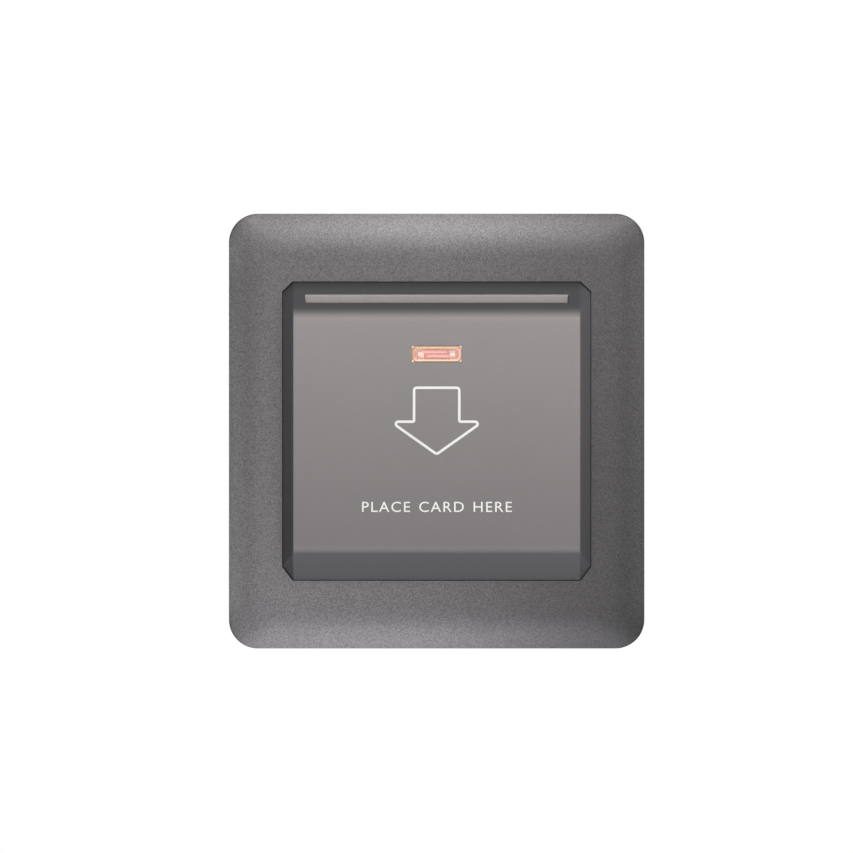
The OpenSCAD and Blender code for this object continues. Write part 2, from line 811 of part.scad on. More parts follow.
module terminal_shield() {
    color("darkolivegreen") difference() {
        block(
            [-shield_hw + snug, block_d - shield_t + touch, housing_bottom],
            [shield_hw - snug, block_d, bay_top + 0.6 - snug]
        );
        for (x = terminal_xs) rod_y(x, clamp_z, block_d - 5, block_d + 1, clamp_head_r + 0.4);
    }
}

module housing_screws() {
    color("silver") for (p = boss_points) difference() {
        union() {
            rod_y(p[0], p[1], screw_tip, screw_seat + touch + eps, screw_r);
            rod_y(p[0], p[1], screw_seat + touch, screw_seat + touch + screw_head_t, screw_head);
        }
        drive = screw_seat + touch + screw_head_t;
        for (a = [0, 90]) translate([p[0], drive, p[1]]) rotate([0, a, 0])
            block([-1.7, -1, -0.35], [1.7, 1, 0.35]);
    }
}

// Switch: a cased snap switch with a plunger, a hinged blade and a pair of contacts
module case_box(z0, z1) {
    slab(case_front, case_back)
        translate([case_x0, z0]) square([case_l, z1 - z0]);
}

module switch_case() {
    top = case_z1 - lid_t;
    cavity_front = case_front + case_front_wall;
    color("#1f2430") {
        difference() {
            case_box(case_z0, top);
            block(
                [case_x0 + case_wall, cavity_front, case_z0 + case_wall],
                [case_x1 - case_wall, strip_back, top + 1]
            );
            rod_y(0, plunger_z, case_front - 1, cavity_front + 1, plunger_r + touch);
            for (x = [knuckle_x, contact_x])
                block([x - 2.1, strip_y - touch, case_z0 - 1], [x + 2.1, strip_back + eps, case_z0 + 2]);
        }
        block(
            [knuckle_x - 1.2, cavity_front - eps, case_z0 + case_wall - eps],
            [knuckle_x + 1.2, blade_y - knuckle_r - 0.1, plunger_z + blade_w / 2]
        );
        rod_y(coil_x, plunger_z, strip_back - 1.4, strip_back + eps, coil_r - coil_wire - 0.2);
    }
}

module switch_lid() {
    color("#2a3040") {
        case_box(case_z1 - lid_t + touch, case_z1);
        block(
            [case_x0 + case_wall + snug, case_front + case_front_wall + snug, case_z1 - lid_t - 0.35],
            [case_x1 - case_wall - snug, case_front + case_front_wall + 1.2, case_z1 - lid_t + touch + eps]
        );
    }
}

module switch_plunger() {
    flange_front = case_front + case_front_wall + 0.2;
    blade_front = blade_y - blade_t / 2;
    color("firebrick") {
        rod_y(0, plunger_z, plunger_top, flange_front + eps, plunger_r);
        rod_y(0, plunger_z, flange_front, flange_front + 1, plunger_r + 0.7);
        rod_y(0, plunger_z, flange_front + 1 - eps, blade_front - fit_gap, plunger_neck_r);
    }
}

module contact_blade() {
    z0 = plunger_z - blade_w / 2;
    color("goldenrod") difference() {
        union() {
            translate([knuckle_x, blade_y, z0]) cylinder(h = blade_w, r = knuckle_r);
            block(
                [knuckle_x, blade_y - blade_t / 2, z0],
                [contact_x + blade_end, blade_y + blade_t / 2, z0 + blade_w]
            );
        }
        rod_y(contact_x, plunger_z, blade_y - 1, blade_y + 1, 0.9);
    }
}

// A domed rivet: its shank fills the blade's hole
module moving_contact() {
    face = blade_y + blade_t / 2;
    ball = (contact_r * contact_r + contact_dome * contact_dome) / (2 * contact_dome);
    color("gainsboro") translate([contact_x, face, plunger_z]) rotate([-90, 0, 0]) {
        cylinder(h = contact_t - contact_dome, r = contact_r);
        intersection() {
            translate([0, 0, contact_t - ball]) sphere(ball, $fn = 64);
            translate([0, 0, contact_t - contact_dome - eps]) cylinder(h = contact_dome + 1, r = contact_r);
        }
        translate([0, 0, -blade_t - 0.15]) cylinder(h = blade_t + 0.15 + eps, r = 0.88);
    }
}

module blade_spring() {
    y0 = blade_y + blade_t / 2 + touch + coil_wire;
    y1 = strip_back - touch - coil_wire;
    steps = 12;
    n = steps * coil_turns;
    color("silver") translate([coil_x, 0, plunger_z])
        tube(
            [for (i = [0:n]) let (a = 360 * i / steps)
                [coil_r * cos(a), y0 + (y1 - y0) * i / n, coil_r * sin(a)]],
            coil_wire, 6, [1, 0, 0]
        );
}

// Terminal strips, cut flat from brass sheet
module strip(shapes) {
    slab(strip_y, strip_back)
        for (s = shapes) translate([s[0], s[2]]) square([s[1] - s[0], s[3] - s[2]]);
}

module line_terminal() {
    bay = terminal_xs[0];
    color("khaki") {
        strip([
            [knuckle_x - 2, knuckle_x + 2, chamber_bottom + 0.5, strip_top],
            [bay - tail_hw, knuckle_x + 2, chamber_bottom + 0.5, chamber_bottom + 4.5],
            [bay - tail_hw, bay + tail_hw, tail_bottom, chamber_bottom + 4.5]
        ]);
        difference() {
            union() {
                block(
                    [knuckle_x - 1.4, blade_y + 0.6, plunger_z - 2],
                    [knuckle_x + 1.4, strip_y + eps, plunger_z + 2]
                );
                block(
                    [knuckle_x - 1.4, blade_y - 0.5, plunger_z - 2],
                    [knuckle_x - 0.8, blade_y + 1, plunger_z + 2]
                );
            }
            translate([knuckle_x, blade_y, plunger_z - 5]) cylinder(h = 10, r = knuckle_r + touch);
        }
    }
}

module load_terminal() {
    bay = terminal_xs[2];
    color("khaki") difference() {
        strip([
            [contact_x - 2, contact_x + 2, chamber_bottom + 0.5, strip_top],
            [contact_x - 2, bay + tail_hw, chamber_bottom + 0.5, chamber_bottom + 4.5],
            [bay - tail_hw, bay + tail_hw, tail_bottom, chamber_bottom + 4.5]
        ]);
        rod_y(contact_x, plunger_z, strip_y - 1, strip_back + 1, 0.9);
    }
}

module fixed_contact() {
    color("gainsboro") {
        rod_y(contact_x, plunger_z, fixed_contact_y, strip_y, contact_r + 0.1);
        rod_y(contact_x, plunger_z, strip_y - eps, strip_back, 0.88);
    }
}

module neutral_terminal() {
    color("khaki") strip([[-tail_hw, tail_hw, tail_bottom, case_z0 - 1.6]]);
}

module terminal_pillars() {
    color("gold") for (x = terminal_xs) difference() {
        block(
            [x - pillar_w / 2, strip_back, pillar_bottom],
            [x + pillar_w / 2, strip_back + pillar_d, pillar_top]
        );
        translate([x, wire_y, pillar_bottom - 1]) cylinder(h = pillar_top - pillar_bottom + 2, r = wire_r);
        rod_y(x, clamp_z, wire_y, strip_back + pillar_d + 1, clamp_r + touch);
    }
}

module terminal_screws() {
    seat = strip_back + pillar_d + clamp_gap;
    color("silver") for (x = terminal_xs) difference() {
        union() {
            rod_y(x, clamp_z, wire_y + wire_r + 0.1, seat + eps, clamp_r);
            rod_y(x, clamp_z, seat, seat + clamp_head_t, clamp_head_r);
        }
        block(
            [x - 3, seat + clamp_head_t - 0.9, clamp_z - 0.45],
            [x + 3, seat + clamp_head_t + 1, clamp_z + 0.45]
        );
    }
}

// Lamp circuit: a series resistor and thin insulated leads
module lamp_resistor() {
    color("tan") {
        rod_x(resistor_y, resistor_z, -resistor_half, resistor_half, resistor_r);
        rod_x(resistor_y, resistor_z, -resistor_pin, resistor_pin, 0.3);
    }
}

module lamp_lead_supply() {
    color("red") tube(supply_route, lead_r, lead_sides, [0, 1, 0]);
}

module lamp_lead_neutral() {
    color("royalblue") tube(neutral_route, lead_r, lead_sides, [0, 1, 0]);
}

module resistor_tail() {
    color("red") tube(tail_route, lead_r, lead_sides, [0, 1, 0]);
}

bezel_frame();
pocket_cover();
indicator_lens();
lamp_holder();
lamp_tube();
lamp_caps();
lamp_electrodes();
card_guide();
card_lever();
lever_pin();
lever_spring();
mounting_yoke();
rear_housing();
switch_case();
switch_lid();
switch_plunger();
contact_blade();
moving_contact();
blade_spring();
line_terminal();
load_terminal();
fixed_contact();
neutral_terminal();
terminal_pillars();
terminal_screws();
terminal_shield();
housing_screws();
lamp_resistor();
lamp_lead_supply();
lamp_lead_neutral();
resistor_tail();
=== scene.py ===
# %% [markdown]
# # A card switch for a hotel room
# The object is a wall switch that a key card works: a painted frame plate, a raised pocket that takes
# the card, a small lamp window, and the lever, switch and terminals behind the wall. The solids come
# packed in metres, with X to the right, Y into the wall and Z up. This lesson gives each of them its
# edges, its finish and its print, and lights it for a picture taken straight from the front.

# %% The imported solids
import math

import bmesh
import bpy
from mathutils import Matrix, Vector


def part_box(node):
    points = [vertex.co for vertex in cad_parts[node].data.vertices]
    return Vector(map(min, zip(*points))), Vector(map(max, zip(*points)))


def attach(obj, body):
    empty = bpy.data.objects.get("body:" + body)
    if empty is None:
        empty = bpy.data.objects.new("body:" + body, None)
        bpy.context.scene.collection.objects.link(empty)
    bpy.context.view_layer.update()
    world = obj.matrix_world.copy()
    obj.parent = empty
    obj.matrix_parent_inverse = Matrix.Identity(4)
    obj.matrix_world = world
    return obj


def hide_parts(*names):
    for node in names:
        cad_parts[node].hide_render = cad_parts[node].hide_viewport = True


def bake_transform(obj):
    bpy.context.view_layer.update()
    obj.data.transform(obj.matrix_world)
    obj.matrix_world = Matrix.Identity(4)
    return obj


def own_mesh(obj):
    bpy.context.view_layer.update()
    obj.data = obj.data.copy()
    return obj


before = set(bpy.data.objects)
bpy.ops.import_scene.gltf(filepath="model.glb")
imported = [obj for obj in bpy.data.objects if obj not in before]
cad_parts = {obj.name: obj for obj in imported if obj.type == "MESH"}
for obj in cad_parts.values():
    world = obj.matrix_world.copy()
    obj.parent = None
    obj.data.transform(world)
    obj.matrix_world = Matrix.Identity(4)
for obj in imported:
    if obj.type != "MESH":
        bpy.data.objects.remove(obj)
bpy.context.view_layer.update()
MM = 0.001

# %% [markdown]
# ## Camera
# The picture was taken square on and from far away: the pocket's left and right sides look equally
# wide. A very long lens gives that look. The plate stands a little right of and below the picture's
# middle, so the camera is aimed that much to its left and above it.

# %% Camera
PICTURE_WIDTH = 177 * MM
CAMERA_DISTANCE = 3.0
SENSOR_WIDTH = 36
AIM_X = -2.1 * MM
AIM_Z = 0.95 * MM


def add_object(name, data):
    made = bpy.data.objects.new(name, data)
    bpy.context.scene.collection.objects.link(made)
    return made


def set_all(thing, **values):
    for label, value in values.items():
        setattr(thing, label, value)
    return thing


camera_data = bpy.data.cameras.new("front_camera")
lens_length = SENSOR_WIDTH * CAMERA_DISTANCE / PICTURE_WIDTH
set_all(camera_data, sensor_width=SENSOR_WIDTH, lens=lens_length, clip_end=20)
camera = add_object("front_camera", camera_data)
camera.location = (AIM_X, -CAMERA_DISTANCE, AIM_Z)
camera.rotation_euler = (math.radians(90), 0, 0)
bpy.context.scene.camera = camera
print("lens:", round(lens_length), "mm")

# %% [markdown]
# ## Studio
# Soft panels stand in front, overhead, below and on the right: the curved band of the plate picks them
# up. Weak ones on the left and behind are there for views from those sides. The backdrop is plain white
# to the camera and much dimmer to the paint, which keeps the pocket's sloping sides dark.

# %% Panels
def light_panel(name, place, width, height, power, colour=(1, 1, 1)):
    data = bpy.data.lights.new(name, "AREA")
    set_all(data, shape="RECTANGLE", size=width, size_y=height, energy=power, color=colour)
    panel = add_object(name, data)
    panel.location = place
    panel.rotation_euler = (Vector() - Vector(place)).to_track_quat("-Z", "Y").to_euler()
    panel.visible_camera = False


light_panel("front_panel", (0.0, -1.5, 0.0), 2.4, 0.8, 11.5)
light_panel("top_strip", (0.12, -1.02, 0.62), 1.0, 0.5, 17.8, (1.0, 0.99, 0.97))
light_panel("foot_strip", (0.0, -0.62, -0.42), 0.7, 0.32, 4.4, (0.95, 0.96, 1.0))
light_panel("foot_fill", (0.0, -0.22, -0.5), 0.8, 0.2, 1.3, (0.98, 0.98, 1.0))
light_panel("right_panel", (1.0, -0.25, 0.1), 0.5, 0.8, 5.8)
light_panel("left_panel", (-1.1, 0.0, 0.15), 0.5, 0.8, 1.2)
light_panel("back_panel", (0.5, 1.0, 0.3), 0.8, 0.8, 9.5)
light_panel("back_fill", (-0.35, 1.0, 0.4), 0.6, 0.8, 3.5)

# %% Backdrop
def add_step(tree, kind, inputs, **settings):
    step = set_all(tree.nodes.new(kind), **settings)
    for label, value in inputs.items():
        if isinstance(value, bpy.types.NodeSocket):
            tree.links.new(value, step.inputs[label])
        else:
            step.inputs[label].default_value = value
    return step.outputs


def add_choice(tree, test, if_not, if_so):
    return add_step(tree, "ShaderNodeMixShader", {"Fac": test, 1: if_not, 2: if_so})["Shader"]


def camera_sight(tree):
    return add_step(tree, "ShaderNodeLightPath", {})["Is Camera Ray"]


world = bpy.data.worlds.new("studio")
bpy.context.scene.world = world
world.use_nodes = True
sky = world.node_tree
sky.nodes.clear()
dim = add_step(sky, "ShaderNodeBackground", {"Color": (0.7, 0.88, 1.0, 1), "Strength": 0.12})
white = add_step(sky, "ShaderNodeBackground", {"Color": (1, 1, 1, 1), "Strength": 1.0})
backdrop = add_choice(sky, camera_sight(sky), dim["Background"], white["Background"])
add_step(sky, "ShaderNodeOutputWorld", {"Surface": backdrop})
bpy.context.scene.view_settings.view_transform = "Standard"
print("backdrop steps:", len(sky.nodes))

# %% [markdown]
# ## Effects that several finishes share
# Metal flake, moulded grain, a slow drift of tone and the scratches of handled metal each turn up on
# more than one piece. So each is built once, as a node group that puts out a colour, a mask or a height.
# The shader itself stays in the material.

# %% Tone drift
COLOUR = "NodeSocketColor"
NUMBER = "NodeSocketFloat"


def new_group(name, ins, outs, family="ShaderNodeTree"):
    tree = bpy.data.node_groups.new(name, family)
    for side, sockets in (("INPUT", ins), ("OUTPUT", outs)):
        for label, kind in sockets.items():
            tree.interface.new_socket(name=label, in_out=side, socket_type=kind)
    return tree, add_step(tree, "NodeGroupInput", {})


def add_math(tree, operation, a, b):
    return add_step(tree, "ShaderNodeMath", {0: a, 1: b}, operation=operation)[0]


def object_spot(tree):
    return add_step(tree, "ShaderNodeTexCoord", {})["Object"]


def add_noise(tree, spot, scale, detail):
    return add_step(tree, "ShaderNodeTexNoise", {"Vector": spot, "Scale": scale, "Detail": detail})["Fac"]


def add_swing(tree, value, amount):
    return add_math(tree, "MULTIPLY", add_math(tree, "SUBTRACT", value, 0.5), amount)


def add_tint(tree, colour, factor):
    return add_step(tree, "ShaderNodeVectorMath", {0: colour, "Scale": factor}, operation="SCALE")["Vector"]


def add_shade(tree, start, value):
    swing = add_math(tree, "ADD", add_swing(tree, value, start["Amount"]), 1.0)
    return add_tint(tree, start["Colour"], swing)


shaded = dict(Colour=COLOUR, Scale=NUMBER, Amount=NUMBER)
tree, start = new_group("tone_drift", shaded, dict(Colour=COLOUR))
cloud = add_noise(tree, object_spot(tree), start["Scale"], 3.0)
add_step(tree, "NodeGroupOutput", {"Colour": add_shade(tree, start, cloud)})
print("drift steps:", len(tree.nodes))

# %% [markdown]
# ### Painted light and shade
# This effect paints light and shade into the colour, as the studio's light falls: the tone changes from
# foot to top, to the left and right, along the brim at both sides, from corner to corner, with a painted
# highlight at the middle of the top and foot edges, and in the upper left corner. Every place on the
# plate is given in millimetres from its middle.

# %% Painted light and shade
PLATE_W = 86
PLATE_H = 90
MIDDLE_WEIGHT = 0.22


def object_axes(tree):
    return add_step(tree, "ShaderNodeSeparateXYZ", {"Vector": object_spot(tree)})


def add_ramp(tree, value, near, far, at_near=0.0, at_far=1.0, kind="LINEAR"):
    inputs = {"Value": value, "From Min": near * MM, "From Max": far * MM}
    inputs.update({"To Min": at_near, "To Max": at_far})
    return add_step(tree, "ShaderNodeMapRange", inputs, interpolation_type=kind)["Result"]


def add_mask(tree, value, near, far):
    return add_ramp(tree, value, near, far, kind="SMOOTHSTEP")


def add_share(tree, base, amount, first, second):
    amount = add_math(tree, "MULTIPLY", add_math(tree, "MULTIPLY", amount, first), second)
    return add_math(tree, "MULTIPLY", base, add_math(tree, "ADD", amount, 1.0))


shares = ("Left", "Right", "Foot", "Top", "Sides", "Diagonal", "Ends", "Corner")
fade_inputs = dict(dict.fromkeys(shares, NUMBER), Colour=COLOUR)
tree, start = new_group("spray_fade", fade_inputs, dict(Colour=COLOUR))
axes = object_axes(tree)
across = axes["X"]
upward = axes["Z"]
from_middle = add_math(tree, "ABSOLUTE", across, 0.0)
from_level = add_math(tree, "ABSOLUTE", upward, 0.0)
# Painted light and shade: darker to the foot and the right, lighter at the brim and in the upper left
# corner.
swing = add_ramp(tree, upward, -26, 26, start["Foot"], start["Top"])
for far, side in ((-40, "Left"), (40, "Right")):
    swing = add_math(tree, "MULTIPLY", swing, add_ramp(tree, across, 0, far, 1.0, start[side]))
brim = add_mask(tree, from_middle, 38.5, PLATE_W / 2)
clear_of_corners = add_mask(tree, from_level, PLATE_H / 2, 37)
more = add_math(tree, "SUBTRACT", start["Sides"], 1.0)
swing = add_share(tree, swing, more, brim, clear_of_corners)
tilt_across = add_ramp(tree, across, -PLATE_W / 2, PLATE_W / 2, -1.0, 1.0)
tilt_upward = add_ramp(tree, upward, -PLATE_H / 2, PLATE_H / 2, -1.0, 1.0)
swing = add_share(tree, swing, start["Diagonal"], tilt_across, tilt_upward)
# Painted highlight at the middle of the top and foot edges, falling to shade at their ends.
squared = add_math(tree, "MULTIPLY", tilt_across, tilt_across)
edge_highlight_bell = add_math(tree, "SUBTRACT", MIDDLE_WEIGHT, squared)
swing = add_share(tree, swing, start["Ends"], add_mask(tree, from_level, 34, 43), edge_highlight_bell)
far_left = add_mask(tree, across, -34, -42)
far_up = add_mask(tree, upward, 30, 42)
swing = add_share(tree, swing, start["Corner"], far_left, far_up)
add_step(tree, "NodeGroupOutput", {"Colour": add_tint(tree, start["Colour"], swing)})
print("fade steps:", len(tree.nodes))

# %% [markdown]
# ### Flake, grain and marks
# Metal flake is a cloud of tiny cells, each with a tone and a height of its own. Moulded grain is fine
# noise, with a broad one that shifts the gloss. Handling marks are noise drawn out along X.

# %% Flake, grain and marks
STREAK = (0.06, 1.0, 1.0)
tree, start = new_group("metal_flake", shaded, dict(Colour=COLOUR, Height=NUMBER))
cells = add_step(tree, "ShaderNodeTexVoronoi", {"Vector": object_spot(tree), "Scale": start["Scale"]})
tones = add_step(tree, "ShaderNodeSeparateColor", {"Color": cells["Color"]})
flake = {"Colour": add_shade(tree, start, tones["Red"]), "Height": tones["Green"]}
add_step(tree, "NodeGroupOutput", flake)

tree, start = new_group("moulded_grain", dict(Scale=NUMBER), dict(Height=NUMBER, Shift=NUMBER))
spot = object_spot(tree)
fine = add_noise(tree, spot, start["Scale"], 2.0)
shift = add_math(tree, "SUBTRACT", add_noise(tree, spot, 220.0, 3.0), 0.5)
add_step(tree, "NodeGroupOutput", {"Height": fine, "Shift": shift})

marked = dict(Length=NUMBER, Amount=NUMBER)
tree, start = new_group("handling_marks", marked, dict(Mask=NUMBER, Height=NUMBER))
drag = add_step(tree, "ShaderNodeMapping", {"Vector": object_spot(tree), "Scale": STREAK})["Vector"]
streak = add_noise(tree, drag, add_math(tree, "MULTIPLY", start["Length"], 40.0), 4.0)
add_step(tree, "NodeGroupOutput", {"Mask": add_swing(tree, streak, start["Amount"]), "Height": streak})
print("effects:", [g.name for g in bpy.data.node_groups])

# %% [markdown]
# ## Finishes
# A finish is a Principled shader whose colour, roughness and relief come from those groups. Colours
# are written as they look on a screen, from 0 to 255, and turned into light values here. What is the
# same all over a surface is set straight on the shader's own sockets.

# %% Parts of a finish
finishes = {}


def seen(*levels):
    shares = [level / 255 for level in levels]
    return (*(s / 12.92 if s <= 0.04045 else ((s + 0.055) / 1.055) ** 2.4 for s in shares), 1.0)


def new_finish(name, **plain):
    material = bpy.data.materials.new(name)
    finishes[name] = material
    material.use_nodes = True
    inputs = material.node_tree.nodes["Principled BSDF"].inputs
    for label, value in plain.items():
        inputs[label.replace("_", " ")].default_value = value
    return material.node_tree, inputs


def use_effect(tree, group, **values):
    inputs = {label.title(): value for label, value in values.items()}
    return add_step(tree, "ShaderNodeGroup", inputs, node_tree=bpy.data.node_groups[group])


def use_drift(tree, socket, colour, scale, amount):
    drift = use_effect(tree, "tone_drift", colour=seen(*colour), scale=scale, amount=amount)
    tree.links.new(drift["Colour"], socket)


def use_relief(tree, inputs, height, depth, strength):
    bump = add_step(tree, "ShaderNodeBump", {"Strength": strength, "Distance": depth * MM, "Height": height})
    tree.links.new(bump["Normal"], inputs["Normal"])


print("mid grey as light:", round(seen(128)[0], 3))

# %% [markdown]
# ### Paint
# The plate and the pocket are sprayed with the same kind of paint, the plate with coarser, stronger
# flake. Painted light and shade are laid into both colours. On the pocket, a cold tint behind the face
# and a painted shade near the root of the top slope stand in for how light falls on its sloping sides.

# %% Paint
PAINT_METALLIC = 0.75
SLOPE_SHADE_TINT = (0.91, 0.97, 1.01, 1.0)
ROOT_SHADE = 0.6


def flake_paint(name, colour, fade, flake, amount, roughness):
    tree, inputs = new_finish(name, Roughness=roughness, Metallic=PAINT_METALLIC)
    drift = use_effect(tree, "tone_drift", colour=seen(*colour), scale=45, amount=0.06)
    # painted light and shade, laid into the colour by position
    lit_and_shaded = use_effect(tree, "spray_fade", colour=drift["Colour"], **fade)
    flakes = use_effect(tree, "metal_flake", colour=lit_and_shaded["Colour"], scale=flake, amount=amount)
    tree.links.new(flakes["Colour"], inputs["Base Color"])
    use_relief(tree, inputs, flakes["Height"], 0.004, 0.5)


def add_mix(tree, share, first, second, blend="MIX"):
    inputs = {"Factor": share, "A": first, "B": second}
    return add_step(tree, "ShaderNodeMix", inputs, data_type="RGBA", blend_type=blend)["Result"]


def base_colour(name):
    tree = finishes[name].node_tree
    socket = tree.nodes["Principled BSDF"].inputs["Base Color"]
    return tree, socket, socket.links[0].from_socket


# How much painted light and shade each paint gets; even_fade gets none.
even_fade = dict(left=1.0, right=1.0, foot=1.0, top=1.0, sides=1.0)
pocket_painted_shade = dict(even_fade, foot=0.66, top=1.06)
plate_painted_light = dict(
    left=1.1, right=0.53, foot=0.97, top=1.05, sides=1.62, diagonal=0.22, ends=0.38, corner=0.5
)
flake_paint("plate_paint", (70, 68, 69), plate_painted_light, 7600, 0.85, 0.4)
flake_paint("pocket_paint", (98, 94, 94), pocket_painted_shade, 9000, 0.1, 0.6)
# The slot's back wall: paler paint as painted light, making up for the shade in the narrow slot.
flake_paint("rubbed_paint", (113, 108, 108), even_fade, 9000, 0.14, 0.5)
# Painted shade on the pocket: a cold tint on the slopes behind the face, darker near the top slope's root.
tree, base, painted = base_colour("pocket_paint")
axes = object_axes(tree)
slope_shaded = add_mix(tree, add_ramp(tree, axes["Y"], -18.2, -16.8), painted, SLOPE_SHADE_TINT, "MULTIPLY")
root_painted_shade = add_ramp(tree, axes["Z"], 29.0, 30.8, 1.0, ROOT_SHADE)
tree.links.new(add_tint(tree, slope_shaded, root_painted_shade), base)
print("paints:", len(finishes))

# %% [markdown]
# ### Plastic and metal
# Moulded pieces differ in colour, in how fine and deep their grain is, and in gloss. Metal ones differ in
# colour, gloss, and the length and strength of their handling marks.

# %% Plastic and metal
def moulded(name, colour, grain, depth, roughness):
    tree, inputs = new_finish(name, Roughness=roughness)
    use_drift(tree, inputs["Base Color"], colour, 120, 0.12)
    skin = use_effect(tree, "moulded_grain", scale=grain)
    shift = add_math(tree, "MULTIPLY", skin["Shift"], 0.25)
    tree.links.new(add_math(tree, "ADD", shift, roughness), inputs["Roughness"])
    use_relief(tree, inputs, skin["Height"], depth, 0.6)


def sheet_metal(name, colour, roughness, length, amount):
    tree, inputs = new_finish(name, Roughness=roughness, Metallic=1.0)
    use_drift(tree, inputs["Base Color"], colour, 160, 0.22)
    marks = use_effect(tree, "handling_marks", length=length, amount=amount)
    tree.links.new(add_math(tree, "ADD", marks["Mask"], roughness), inputs["Roughness"])
    use_relief(tree, inputs, marks["Height"], 0.004, 0.06)


for finish in (
    ("print_ink", (157, 156, 154), 5000, 0.002, 0.45),
    ("guide_black", (52, 53, 56), 3200, 0.008, 0.5),
    ("lever_ivory", (228, 222, 206), 3600, 0.004, 0.4),
    ("housing_black", (40, 40, 43), 2600, 0.012, 0.55),
    ("switch_black", (36, 38, 46), 3800, 0.006, 0.42),
    ("plunger_red", (178, 42, 36), 4200, 0.003, 0.35),
    ("wire_red", (186, 36, 34), 3000, 0.003, 0.4),
    ("wire_blue", (40, 82, 176), 3000, 0.003, 0.4),
    ("resistor_tan", (206, 178, 134), 2400, 0.006, 0.3),
    ("pale_floor", (235, 235, 233), 300, 0.02, 0.7),
):
    moulded(*finish)
for finish in (
    ("zinc_plate", (206, 208, 210), 0.34, 50, 0.16),
    ("brass_sheet", (214, 178, 104), 0.3, 140, 0.3),
    ("silver_contact", (232, 230, 224), 0.22, 160, 0.2),
    ("spring_steel", (196, 196, 198), 0.24, 200, 0.2),
):
    sheet_metal(*finish)
print("finishes so far:", len(finishes))

# %% [markdown]
# ## Clear pieces and the lamp's glow
# The lens is clear plastic with a salmon tint, and the lamp behind it glows pink between two pale end
# caps. Glass keeps plain numbers on its shader, and only its colour drifts. The lamp's glass and
# electrodes glow as a lamp does. The rest of the glow is painted light from the lamp: on its caps, its
# holder and the strips in its gap, faintly on the lens, on the lens's bevels and corner pads, and a faint
# glow in the dark strip of painted shade round the lens.

# %% Clear and glowing finishes
def clear_plastic(name, colour, roughness, glow, strength, ior):
    clear = dict(Transmission_Weight=1.0, Roughness=roughness, IOR=ior)
    tree, inputs = new_finish(name, Emission_Color=seen(*glow), Emission_Strength=strength, **clear)
    use_drift(tree, inputs["Base Color"], colour, 300, 0.06)


def glowing(name, colour, roughness, glow, strength):
    tree, inputs = new_finish(name, Roughness=roughness, Emission_Strength=strength)
    use_drift(tree, inputs["Base Color"], colour, 900, 0.15)
    use_drift(tree, inputs["Emission Color"], glow, 700, 0.2)


# The lens's faint glow is painted light from the lamp.
clear_plastic("lens_tint", (250, 242, 238), 0.06, (255, 222, 204), 0.06, 1.2)
clear_plastic("lamp_glass", (255, 240, 236), 0.05, (232, 180, 174), 0.15, 1.12)
clear_plastic("shield_clear", (212, 216, 218), 0.12, (0, 0, 0), 0, 1.45)
# Only the electrodes glow as a lamp; caps, holder, lens bevels, gap strips and pads carry painted light.
for finish in (
    ("lamp_wire", (196, 138, 142), 0.5, (240, 180, 186), 0.4),
    ("lamp_cap", (190, 164, 162), 0.5, (244, 208, 206), 0.34),
    ("lit_holder", (190, 146, 126), 0.5, (230, 180, 162), 0.42),
    ("lens_cream", (168, 138, 112), 0.35, (255, 220, 190), 0.27),
    ("lens_salmon", (160, 112, 92), 0.3, (240, 186, 164), 0.24),
    ("gasket_amber", (112, 84, 64), 0.4, (150, 108, 82), 0.05),
    ("pad_white", (172, 167, 158), 0.5, (250, 240, 230), 0.04),
):
    glowing(*finish)
print("finishes:", len(finishes))

# %% [markdown]
# ## Dressing a solid
# A moulded or pressed part never has razor edges: they catch a thin line of light. A copy of the solid
# is merged into one skin, its flat triangles are joined, and a narrow bevel rounds what is sharp. The
# copy then stands in for the solid, which stays hidden in its place for the motion.

# %% Dressing helper
BODY = "switch_body"


def solved_mesh(piece):
    bpy.context.view_layer.update()
    return bpy.data.meshes.new_from_object(piece.evaluated_get(bpy.context.evaluated_depsgraph_get()))


def settle(piece):
    mesh = solved_mesh(piece)
    piece.modifiers.clear()
    piece.data = mesh
    mesh.name = piece.name
    return piece


def round_edges(piece, width, angle=32, segments=2):
    bevel = piece.modifiers.new("round_edges", "BEVEL")
    set_all(bevel, limit_method="ANGLE", angle_limit=math.radians(angle), use_clamp_overlap=True)
    set_all(bevel, width=width * MM, segments=segments)
    piece.modifiers.new("even_light", "WEIGHTED_NORMAL").keep_sharp = True
    for face in piece.data.polygons:
        face.use_smooth = True
    return settle(piece)


def wear(piece, finish, slot, *nodes, body=BODY):
    piece.data.materials.clear()
    piece.data.materials.append(finishes[finish])
    if nodes:
        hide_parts(*nodes)
    if body:
        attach(piece, body)
    print(piece.name, "faces:", len(piece.data.polygons))


def form_of(mesh):
    form = bmesh.new()
    form.from_mesh(mesh)
    return form


def add_form(name, form):
    mesh = bpy.data.meshes.new(name)
    form.to_mesh(mesh)
    form.free()
    return add_object(name, mesh)


def add_closed(name, form):
    bmesh.ops.recalc_face_normals(form, faces=form.faces)
    return add_form(name, form)


def dress(node, finish, slot, width, body=BODY):
    skin = form_of(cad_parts[node].data)
    bmesh.ops.remove_doubles(skin, verts=skin.verts, dist=0.001 * MM)
    flat = math.radians(0.4)
    bmesh.ops.dissolve_limit(skin, angle_limit=flat, verts=skin.verts, edges=skin.edges, delimit=set())
    piece = round_edges(add_form("dressed_" + node, skin), width)
    wear(piece, finish, slot, node, body=body)
    return piece


print("most pieces ride on:", BODY)

# %% [markdown]
# ## Frame plate
# The plate is a thin painted shell whose band falls away to the rim in a shallow curve. A hull of a
# few rings is enough for its solid, but light on metallic paint shows every facet. Here it is lofted
# instead: rings with the same number of points run up the rim, across the band, over the edge of the
# opening, down its collar and back inside the shell, and each is joined to the next.

